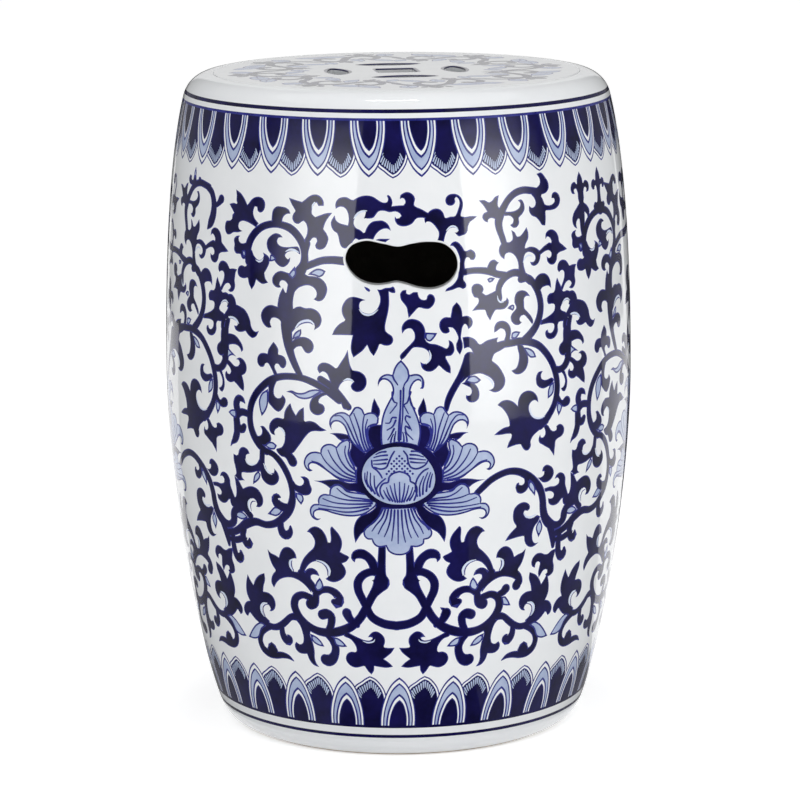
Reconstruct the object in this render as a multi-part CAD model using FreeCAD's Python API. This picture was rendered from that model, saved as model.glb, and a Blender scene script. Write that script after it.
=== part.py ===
"""Drum-shaped garden stool in glazed ceramic, modelled in millimetres.

The stool is a hollow barrel of even wall thickness. Its wall stands on a turned-in
foot ring, and its rounded shoulder carries a flat seat disc, let into a rebate. The
seat is pierced with a coin: a square hole in a ring of four leaf-shaped slots. Two
hand holes, each a pair of round lobes joined by a waist, go through the wall, one in
front and one behind. A soft clay coil backs each luted joint from inside.

The frame has +Z up, the origin at the centre of the foot, and -Y towards the front.
"""

import FreeCAD, Part
import math
import os

from FreeCAD import Vector

# Overall form
HEIGHT = 460.0
BELLY_RADIUS = 163.6
BELLY_HEIGHT = 252.0
WALL = 9.0

# Foot ring, whose outside rolls under to the flat that the stool stands on
FOOT_HEIGHT = 14.0
FOOT_RADIUS = 129.3
FOOT_ROLL = 20.9
FOOT_WIDTH = 33.3
FOOT_EDGE = 2.0
BARE_EDGE_HEIGHT = 1.5
BARE_EDGE_WIDTH = 3.0

# Shoulder, and the length that each end of the wall keeps its own slope
SHOULDER_ROLL = 20.5
SHOULDER_TURN = 14.0
PANEL_RADIUS = 128.5
FOOT_EASE = 60.0
BELLY_EASE_DOWN = 70.0
BELLY_EASE_UP = 60.0
SHOULDER_EASE = 50.0

# Seat disc in its rebate
LIP_WIDTH = 1.5
SEAT_THICKNESS = 10.0
SEAT_EDGE_CHAMFER = 0.8
LUTE_GAP = 0.3
LEDGE_WIDTH = 12.0
LEDGE_THICKNESS = 9.0
LEDGE_FILLET = 7.0

# Coin pierced through the seat
COIN_TURN = 8.0
COIN_SQUARE = 26.0
COIN_SQUARE_CORNER = 2.0
COIN_RADIUS = 48.0
SLOT_LENGTH = 44.0
SLOT_DEPTH = 14.0
SLOT_TIP_RADIUS = 1.5
PIERCED_EDGE = 1.0

# Hand holes, cut freehand: half sizes across and up, and stations round the outline
# as shares of them, from the left lobe's end over the top
HAND_HOLE_HEIGHT = 347.7
HAND_HOLE_SHIFT = 2.4
HAND_HOLE_ACROSS = 37.0
HAND_HOLE_UP = 16.0
HAND_HOLE_EDGE = 1.5
HAND_HOLE_STATIONS = [
    (-1.00, 0.27),
    (-0.92, 0.73),
    (-0.66, 1.00),
    (-0.33, 0.89),
    (-0.06, 0.77),
    (0.18, 0.88),
    (0.45, 0.95),
    (0.79, 0.80),
    (0.97, 0.33),
    (0.99, -0.22),
    (0.85, -0.74),
    (0.58, -1.00),
    (0.29, -0.94),
    (0.07, -0.78),
    (-0.09, -0.70),
    (-0.28, -0.78),
    (-0.46, -0.81),
    (-0.75, -0.62),
    (-0.93, -0.21),
]

# Luting coils in the inside corners
COIL_RADIUS = 8.0

AXIS = Vector(0, 0, 1)
ORIGIN = Vector(0, 0, 0)


def at(radius, z):
    """A point of the half section, in the plane that is revolved."""
    return Vector(radius, 0, z)


def line(start, end):
    return Part.LineSegment(start, end).toShape()


def arc(centre, radius, start_angle, end_angle):
    """An arc of the half section, from one angle above the horizontal to another."""
    angles = [start_angle, (start_angle + end_angle) / 2, end_angle]
    points = [
        centre + at(radius * math.cos(a), radius * math.sin(a)) for a in angles
    ]
    return Part.Arc(*points).toShape()


def ease(start, start_way, start_length, end, end_way, end_length):
    """A curve that leaves start along start_way and reaches end along end_way."""
    curve = Part.BezierCurve()
    curve.setPoles([start, start + start_way * start_length, end - end_way * end_length, end])
    return curve.toShape()


def revolve(edges):
    return Part.Face(Part.Wire(edges)).revolve(ORIGIN, AXIS, 360)


def ends(edge):
    """First and last point of an edge, in the way that it was drawn."""
    return edge.valueAt(edge.FirstParameter), edge.valueAt(edge.LastParameter)


def foot_roll_centre():
    """The roll is tangent to the floor, and meets the wall at the foot ring's top."""
    lean = foot_lean()
    return at(FOOT_RADIUS - FOOT_ROLL * math.cos(lean), FOOT_ROLL)


def foot_lean():
    """Slope of the wall at the foot ring's top, from the vertical."""
    return math.asin(1 - FOOT_HEIGHT / FOOT_ROLL)


def foot_bore_radius():
    return FOOT_RADIUS - FOOT_WIDTH


def wall_curves(inset):
    """The wall's lower and upper curve, inset from the outside by that much."""
    upright = at(0, 1)
    lean = foot_lean()
    turn = math.radians(SHOULDER_TURN)
    foot = at(FOOT_RADIUS - inset, FOOT_HEIGHT)
    belly = at(BELLY_RADIUS - inset, BELLY_HEIGHT)
    roll = SHOULDER_ROLL - inset
    shoulder_centre = at(PANEL_RADIUS, HEIGHT - SHOULDER_ROLL)
    shoulder = shoulder_centre + at(roll * math.cos(turn), roll * math.sin(turn))
    leaning = at(math.sin(lean), math.cos(lean))
    turning = at(-math.sin(turn), math.cos(turn))
    lower = ease(foot, leaning, FOOT_EASE, belly, upright, BELLY_EASE_DOWN)
    upper = ease(belly, upright, BELLY_EASE_UP, shoulder, turning, SHOULDER_EASE)
    return lower, upper


def seat_radius():
    return PANEL_RADIUS - LIP_WIDTH


def ledge_inner_radius():
    return seat_radius() - LEDGE_WIDTH


def ledge_top():
    return HEIGHT - SEAT_THICKNESS


def barrel_section():
    """Half section of the wall, shoulder and seat ledge."""
    lower, upper = wall_curves(0)
    inner_lower, inner_upper = wall_curves(WALL)
    turn = math.radians(SHOULDER_TURN)
    shoulder_centre = at(PANEL_RADIUS, HEIGHT - SHOULDER_ROLL)
    shoulder = arc(shoulder_centre, SHOULDER_ROLL, turn, math.pi / 2)
    rebate_radius = seat_radius() + LUTE_GAP
    ledge_bottom = ledge_top() - LEDGE_THICKNESS
    inner_top = ends(inner_upper)[1]
    corner_start = at(inner_top.x - LEDGE_FILLET, ledge_bottom)
    outline = [
        at(PANEL_RADIUS, HEIGHT),
        at(rebate_radius, HEIGHT),
        at(rebate_radius, ledge_top()),
        at(ledge_inner_radius(), ledge_top()),
        at(ledge_inner_radius(), ledge_bottom),
        corner_start,
        inner_top,
    ]
    inside = [line(a, b) for a, b in zip(outline, outline[1:])]
    bottom = line(ends(inner_lower)[0], ends(lower)[0])
    return [lower, upper, shoulder, *inside, inner_upper, inner_lower, bottom]


def hand_hole_outline():
    """The freehand outline, in the XZ plane through the axis."""
    centre = at(HAND_HOLE_SHIFT, HAND_HOLE_HEIGHT)
    points = [
        centre + at(across * HAND_HOLE_ACROSS, up * HAND_HOLE_UP)
        for across, up in HAND_HOLE_STATIONS
    ]
    curve = Part.BSplineCurve()
    curve.interpolate(Points=points, PeriodicFlag=True)
    return Part.Wire([curve.toShape()])


def hand_hole_cutter():
    """A bar with the hand hole's outline, from the axis out through the front wall."""
    face = Part.Face(hand_hole_outline())
    return face.extrude(Vector(0, -BELLY_RADIUS - WALL, 0))


def round_over(shape, edges, radius):
    """The shape with those edges rounded, by less where the wall is thin."""
    return shape.makeFillet(min(radius, WALL / 3), edges)


def in_hand_hole(edge):
    """True for an edge of the hand holes' mouths, on either side of the wall."""
    box = edge.BoundBox
    hole = hand_hole_outline().BoundBox
    reach = max(abs(hole.XMin), abs(hole.XMax)) + HAND_HOLE_EDGE
    inside_width = max(abs(box.XMin), abs(box.XMax)) < reach
    inside_height = hole.ZMin - HAND_HOLE_EDGE < box.ZMin and box.ZMax < hole.ZMax + HAND_HOLE_EDGE
    return inside_width and inside_height


def outside_mouth(edge):
    """True where an edge lies nearer to the wall's outside than to its inside."""
    middle = edge.valueAt((edge.FirstParameter + edge.LastParameter) / 2)
    lower, upper = wall_curves(WALL / 2)
    curve = upper if middle.z > BELLY_HEIGHT else lower
    level = Part.LineSegment(at(0, middle.z), at(2 * BELLY_RADIUS, middle.z)).toShape()
    wall_middle = curve.distToShape(level)[1][0][0].x
    return math.hypot(middle.x, middle.y) > wall_middle


def make_barrel():
    barrel = revolve(barrel_section())
    cutter = hand_hole_cutter()
    for turn in (0, 180):
        turned = cutter.copy()
        turned.rotate(ORIGIN, AXIS, turn)
        barrel = barrel.cut(turned)
    mouths = [e for e in barrel.Edges if in_hand_hole(e) and outside_mouth(e)]
    return round_over(barrel, mouths, HAND_HOLE_EDGE)


def coin_square():
    """Cutter for the square in the middle of the coin."""
    side = COIN_SQUARE
    square = Part.makeBox(side, side, SEAT_THICKNESS, Vector(-side / 2, -side / 2, ledge_top()))
    corners = [e for e in square.Edges if e.BoundBox.ZLength > SEAT_THICKNESS / 2]
    return square.makeFillet(COIN_SQUARE_CORNER, corners)


def coin_slot():
    """Cutter for one leaf-shaped slot, whose outer side follows the coin's rim."""
    half = SLOT_LENGTH / 2
    chord = math.sqrt(COIN_RADIUS**2 - half**2)
    left = Vector(-half, chord, ledge_top())
    right = Vector(half, chord, ledge_top())
    rim = Part.Arc(left, Vector(0, COIN_RADIUS, ledge_top()), right)
    belly = Part.Arc(right, Vector(0, COIN_RADIUS - SLOT_DEPTH, ledge_top()), left)
    leaf = Part.Face(Part.Wire([rim.toShape(), belly.toShape()]))
    slot = leaf.extrude(Vector(0, 0, SEAT_THICKNESS))
    tips = [e for e in slot.Edges if e.BoundBox.ZLength > SEAT_THICKNESS / 2]
    return slot.makeFillet(SLOT_TIP_RADIUS, tips)


def make_seat_disc():
    """The pierced disc, with its rim chamfered and the piercings' top edges eased."""
    disc = Part.makeCylinder(seat_radius(), SEAT_THICKNESS, at(0, ledge_top()))
    rim = [e for e in disc.Edges if e.BoundBox.ZMin > HEIGHT - SEAT_THICKNESS / 2]
    disc = disc.makeChamfer(SEAT_EDGE_CHAMFER, rim)
    cutters = [coin_square()]
    for quarter in range(4):
        slot = coin_slot()
        slot.rotate(ORIGIN, AXIS, 90 * quarter)
        cutters.append(slot)
    for cutter in cutters:
        cutter.rotate(ORIGIN, AXIS, COIN_TURN)
        disc = disc.cut(cutter)
    coin_reach = COIN_RADIUS + PIERCED_EDGE
    pierced = [
        e
        for e in disc.Edges
        if e.BoundBox.ZMin > HEIGHT - SEAT_THICKNESS / 2
        and max(abs(e.BoundBox.XMin), abs(e.BoundBox.XMax)) < coin_reach
    ]
    return disc.makeFillet(PIERCED_EDGE, pierced)


def make_foot_ring():
    """The ring that the wall stands on, rolled under outside and bare at its edge."""
    centre = foot_roll_centre()
    bore = foot_bore_radius()
    lean = foot_lean()
    bare = math.asin((FOOT_ROLL - BARE_EDGE_HEIGHT) / FOOT_ROLL)
    bare_start = centre + at(FOOT_ROLL * math.cos(bare), -FOOT_ROLL * math.sin(bare))
    roll = arc(centre, FOOT_ROLL, -lean, -bare)
    outline = [
        bare_start,
        at(bare_start.x - BARE_EDGE_WIDTH, 0),
        at(bore + FOOT_EDGE, 0),
        at(bore, FOOT_EDGE),
        at(bore, FOOT_HEIGHT - FOOT_EDGE),
        at(bore + FOOT_EDGE, FOOT_HEIGHT),
        at(FOOT_RADIUS, FOOT_HEIGHT),
    ]
    return revolve([roll, *[line(a, b) for a, b in zip(outline, outline[1:])]])


def make_seat_coil():
    """Quarter-round coil under the seat disc, against the ledge's inner side."""
    outer = ledge_inner_radius()
    corner = at(outer, ledge_top())
    down = at(outer, ledge_top() - COIL_RADIUS)
    across = at(outer - COIL_RADIUS, ledge_top())
    slant = COIL_RADIUS / math.sqrt(2)
    middle = corner - at(slant, slant)
    return revolve([line(corner, down), Part.Arc(down, middle, across).toShape(), line(across, corner)])


def make_foot_coil():
    """Coil on the foot ring's top, pressed into the corner under the leaning wall."""
    inner_lower = wall_curves(WALL)[0]
    corner, _ = ends(inner_lower)
    reach = at(0, FOOT_HEIGHT + COIL_RADIUS)
    level = Part.LineSegment(reach, reach + at(2 * BELLY_RADIUS, 0)).toShape()
    up = inner_lower.distToShape(level)[1][0][0]
    across = corner - at(COIL_RADIUS, 0)
    middle = (up + across) * 0.5 + (corner - (up + across) * 0.5) * 0.2
    chord = line(corner, up)
    return revolve([chord, Part.Arc(up, middle, across).toShape(), line(across, corner)])


PARTS = {
    "foot_ring": make_foot_ring,
    "barrel": make_barrel,
    "seat_disc": make_seat_disc,
    "seat_coil": make_seat_coil,
    "foot_coil": make_foot_coil,
}


def main():
    os.makedirs("parts", exist_ok=True)
    for name, make in PARTS.items():
        shape = make()
        solid = shape.Solids[0] if len(shape.Solids) == 1 else shape
        solid.exportStep(f"parts/{name}.step")
        print(f"{name}: {len(shape.Solids)} solid, {solid.Volume / 1000:.0f} cm3, valid {solid.isValid()}")


main()
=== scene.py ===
# %% [markdown]
# # A blue and white garden stool
# A drum of white clay, about knee height, stands on a turned-in foot. It is painted with
# cobalt under a clear glaze: a scroll of lotus and curling leaves between two bands of
# upright petals. The seat is pierced like an old coin, and a hand hole goes through the
# wall in front and behind.
#
# The notebook opens the frame of solid pieces, draws the painting as outlines in
# millimetres, turns each outline into coloured faces on the glazed wall, and lights the
# result like a product photograph.

# %% Open the frame
import math

import bpy
import numpy as np
from mathutils import Matrix, Vector
from mathutils.geometry import delaunay_2d_cdt


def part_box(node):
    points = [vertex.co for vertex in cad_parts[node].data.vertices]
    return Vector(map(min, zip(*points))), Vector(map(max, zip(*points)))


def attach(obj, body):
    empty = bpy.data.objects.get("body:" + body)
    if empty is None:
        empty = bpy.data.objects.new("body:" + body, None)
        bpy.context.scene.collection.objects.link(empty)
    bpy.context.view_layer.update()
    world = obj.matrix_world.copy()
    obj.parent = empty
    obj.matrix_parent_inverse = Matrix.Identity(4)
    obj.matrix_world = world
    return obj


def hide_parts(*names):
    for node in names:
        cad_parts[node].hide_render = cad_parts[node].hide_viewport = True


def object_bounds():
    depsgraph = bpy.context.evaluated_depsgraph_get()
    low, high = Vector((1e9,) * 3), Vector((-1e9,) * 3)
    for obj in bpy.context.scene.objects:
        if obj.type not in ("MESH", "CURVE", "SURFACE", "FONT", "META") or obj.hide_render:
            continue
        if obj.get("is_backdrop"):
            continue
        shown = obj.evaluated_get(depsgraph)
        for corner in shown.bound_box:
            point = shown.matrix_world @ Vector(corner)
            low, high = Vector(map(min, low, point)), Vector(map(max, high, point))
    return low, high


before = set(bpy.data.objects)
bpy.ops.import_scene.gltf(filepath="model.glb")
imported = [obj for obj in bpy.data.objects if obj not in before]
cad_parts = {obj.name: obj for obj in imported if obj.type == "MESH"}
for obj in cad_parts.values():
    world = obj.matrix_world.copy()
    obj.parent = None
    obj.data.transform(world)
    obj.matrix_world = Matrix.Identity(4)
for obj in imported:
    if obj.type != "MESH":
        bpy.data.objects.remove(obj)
frame_low, frame_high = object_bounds()
MM = 0.001
print("frame", [round(v / MM, 1) for v in frame_high - frame_low], "mm")

# %% [markdown]
# ## The section of the drum
# The wall leans out from the foot, stands upright at the belly and rolls over at the
# shoulder. Two cubic curves and one arc describe it, with the same driving sizes as the
# solid, so that the painted skin lies exactly on it. The overall sizes are read off the
# frame; the eases say how long each end of a curve keeps its own slope.

# %% The wall's curves
HEIGHT = frame_high.z / MM
BELLY_RADIUS = (frame_high.x - frame_low.x) / 2 / MM
BELLY_HEIGHT = 252.0
WALL = 9.0
FOOT_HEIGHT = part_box("foot_ring")[1].z / MM
FOOT_RADIUS = 129.3
FOOT_ROLL = 20.9
PANEL_RADIUS = 128.5
SHOULDER_ROLL = 20.5
SHOULDER_TURN = math.radians(14)
FOOT_EASE, BELLY_EASE_DOWN, BELLY_EASE_UP, SHOULDER_EASE = 60.0, 70.0, 60.0, 50.0
LEDGE_RADIUS, LEDGE_TOP, LEDGE_BOTTOM = 115.0, 450.0, 441.0
REBATE_RADIUS = 127.3
AROUND = 2 * math.pi * BELLY_RADIUS
CURVE_POINTS, ROLL_POINTS = 240, 40


def cubic(start, first, second, end):
    t = np.linspace(0, 1, CURVE_POINTS)[:, None]
    s = 1 - t
    return s**3 * start + 3 * s**2 * t * first + 3 * s * t**2 * second + t**3 * end


def section(inset=0.0):
    """Radius and height along the wall, that far inside its outer face."""
    lean = math.asin(1 - FOOT_HEIGHT / FOOT_ROLL)
    foot = np.array([FOOT_RADIUS - inset, FOOT_HEIGHT])
    belly = np.array([BELLY_RADIUS - inset, BELLY_HEIGHT])
    roll = SHOULDER_ROLL - inset
    centre = np.array([PANEL_RADIUS, HEIGHT - SHOULDER_ROLL])
    out, up = math.cos(SHOULDER_TURN), math.sin(SHOULDER_TURN)
    shoulder = centre + roll * np.array([out, up])
    leaning = np.array([math.sin(lean), math.cos(lean)])
    turning = np.array([-up, out])
    upright = np.array([0.0, 1.0])
    lower = cubic(foot, foot + FOOT_EASE * leaning, belly - BELLY_EASE_DOWN * upright, belly)
    upper = cubic(belly, belly + BELLY_EASE_UP * upright, shoulder - SHOULDER_EASE * turning, shoulder)
    angles = np.linspace(SHOULDER_TURN, math.pi / 2, ROLL_POINTS)
    arc = centre + roll * np.stack([np.cos(angles), np.sin(angles)], 1)
    return np.vstack([lower, upper[1:], arc[1:]])


OUTER, INNER = section(), section(WALL)


def radius_at(z, curve=OUTER):
    return np.interp(z, curve[:, 1], curve[:, 0])


def slope_at(z, curve=OUTER):
    """Outward normal's share along the radius and upwards."""
    run = np.gradient(curve, axis=0)
    run /= np.linalg.norm(run, axis=1)[:, None]
    return np.interp(z, curve[:, 1], run[:, 1]), np.interp(z, curve[:, 1], -run[:, 0])


print("belly radius", round(BELLY_RADIUS, 1), "mm")
# %% [markdown]
# ## A brush made of numbers
# Every mark is one short line of text: a tool and points in millimetres. `u` runs round the
# drum at its belly and `z` runs up. A brush line gives a width at each point, as a loaded
# brush does when it is pressed and lifted. A fill is a smooth closed outline, and `!` marks
# a sharp corner. Both are navy unless another paint is named first. A leaf has a thin dark
# outline round a pale wash, and a vein is a hair line that tapers off. Marks that start with
# a letter were noted in pixels of an enlarged picture of the unrolled wall. PICTURES holds
# each one's pixels per millimetre and the place of its top left corner.

# %% From marks to outlines
OUTLINE_STEP = 1.4
SAME_SPOT = 1e-6
THINNEST = 0.3
LEAF_LINE = 1.2
BLEED = 0.75
VEIN_WIDTHS = (1.45, 0.8)
DOT_RADIUS, DOT_SIDES = 0.85, 8
LINE_WEIGHT = 1.45
NEAR_SHARE = 0.86
PICTURES = {
    "F": (10.5, -70, 292),
    "R": (8, -5, 405),
    "E": (9, 88, 404),
    "T": (14, -50, 406),
    "L": (10, 44, 206),
}


def smooth(points, corners, closed, step=OUTLINE_STEP):
    """A curve through the points, broken at the corners."""
    count = len(points)
    made = []
    for i in range(count if closed else count - 1):
        here, there = points[i], points[(i + 1) % count]
        first, last = i == 0 and not closed, i == count - 2 and not closed
        before = here if corners[i] or first else points[i - 1]
        after = there if corners[(i + 1) % count] or last else points[(i + 2) % count]
        stops = (before, here, there, after)
        gaps = [np.linalg.norm((b - a)[:2]) for a, b in zip(stops, stops[1:])]
        slopes = []
        for k in (0, 1):
            (a, b, c), (p, q) = stops[k:k + 3], gaps[k:k + 2]
            if min(p, q) < SAME_SPOT:
                slopes.append((c - a) / max(p + q, SAME_SPOT))
            else:
                slopes.append(((b - a) / p * q + (c - b) / q * p) / (p + q))
        steps = max(1, round(gaps[1] / step))
        t = (np.arange(steps) / steps)[:, None]
        rise = 2 * t**3 - 3 * t**2
        lift = (t**3 - 2 * t**2 + t) * slopes[0] + (t**3 - t**2) * slopes[1]
        made.append((rise + 1) * here - rise * there + gaps[1] * lift)
    if not closed:
        made.append(points[-1][None])
    return np.vstack(made)


def stroke(points):
    """The outline of a brush stroke with round ends, from u, z, width rows."""
    path = smooth(points, [False] * len(points), False)
    way = np.gradient(path[:, :2], axis=0)
    way /= np.maximum(np.linalg.norm(way, axis=1), 1e-9)[:, None]
    side = np.stack([-way[:, 1], way[:, 0]], 1)
    half = np.maximum(path[:, 2:3], THINNEST) / 2
    left, right = path[:, :2] + side * half, path[:, :2] - side * half

    def cap(centre, heading, radius):
        count = max(2, int(math.pi * radius / OUTLINE_STEP)) + 2
        turns = np.linspace(math.pi / 2, -math.pi / 2, count)[1:-1]
        angles = math.atan2(heading[1], heading[0]) + turns
        return centre + radius * np.stack([np.cos(angles), np.sin(angles)], 1)

    end = cap(path[-1, :2], way[-1], half[-1, 0])
    start = cap(path[0, :2], -way[0], half[0, 0])
    return np.vstack([left, end, right[::-1], start])


def area(outline):
    ahead = np.roll(outline, -1, axis=0)
    return (outline[:, 0] * ahead[:, 1] - ahead[:, 0] * outline[:, 1]).sum() / 2


def shrunk(outline, distance):
    """The outline moved inwards, without the points that come too near its far side."""
    run = np.roll(outline, -1, axis=0) - np.roll(outline, 1, axis=0)
    run /= np.maximum(np.linalg.norm(run, axis=1), 1e-9)[:, None]
    inwards = np.stack([-run[:, 1], run[:, 0]], 1) * np.sign(area(outline))
    moved = outline + inwards * distance
    gaps = np.linalg.norm(moved[:, None] - outline[None], axis=2).min(1)
    return moved[gaps > NEAR_SHARE * distance]


def outlines(mark):
    """(paint, outline) pairs of one mark, in the order that they are laid on."""
    tool, *rows = mark.split()
    picture = PICTURES.get(tool)
    if picture:
        tool = rows.pop(0)
    paint = rows.pop(0) if rows[0].isalpha() else "navy"
    corners = [row.endswith("!") for row in rows]
    points = [np.array([float(v) for v in row.rstrip("!").split(",")]) for row in rows]
    if picture:
        scale, left, top = picture
        for p in points:
            p[:2] = round(left + p[0] / scale, 1), round(top - p[1] / scale, 1)
    if tool == "brush":
        return [(paint, stroke(points))]
    if tool == "line":
        return [("line", stroke([p * [1, 1, LINE_WEIGHT] for p in points]))]
    if tool == "vein":
        widths = np.linspace(*VEIN_WIDTHS, len(points))
        return [("line", stroke([np.append(p, w) for p, w in zip(points, widths)]))]
    if tool == "dots":
        turns = np.linspace(0, 2 * math.pi, DOT_SIDES, endpoint=False)
        dot = DOT_RADIUS * np.stack([np.cos(turns), np.sin(turns)], 1)
        return [("line", p + dot) for p in points]
    body = smooth(points, corners, True)
    if tool == "leaf":
        return [("line", body), ("wash", shrunk(body, LEAF_LINE))]
    return [(paint, body)]


def painted(marks, mirror=None):
    """Outlines of all the marks, each followed by its mirror image where one is asked for."""
    made = []
    for mark in marks:
        shapes = outlines(mark)
        made += shapes
        if mirror is not None:
            made += [(paint, outline * [-1, 1] + [2 * mirror, 0]) for paint, outline in shapes]
    return made


def bled(shapes):
    """Cobalt bleeds a little: blue edges, and the dark cores that are laid over them."""
    edges = [("line", outline) for paint, outline in shapes if paint == "navy"]
    cores = []
    for paint, outline in shapes:
        core = shrunk(outline, BLEED)[::2] if paint == "navy" else outline
        if len(core) > 4:
            cores.append((paint, core))
    return edges, cores


print("outline of a test leaf:", len(outlines("leaf 0,0! 4,6 0,12! -4,6")[0][1]), "points")

# %% Read a list of marks
def marks(text):
    """One mark per line. An indented line carries on the one above, # starts a remark."""
    made = []
    for row in text.strip().split("\n"):
        if row.startswith(" "):
            made[-1] += row
        elif row and not row.startswith("#"):
            made.append(row)
    return made


print("marks in a test list:", len(marks("leaf 0,0 4,6\n  8,0\nline 0,0,1 4,4,1")))

# %% [markdown]
# ## The lyre at the foot of the scroll
# The scroll grows from a lyre of two stems under the flower. Both halves are the same, so
# one half is drawn and the other is its mirror image, as a painter turns the pot and
# repeats the same strokes the other way.

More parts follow.
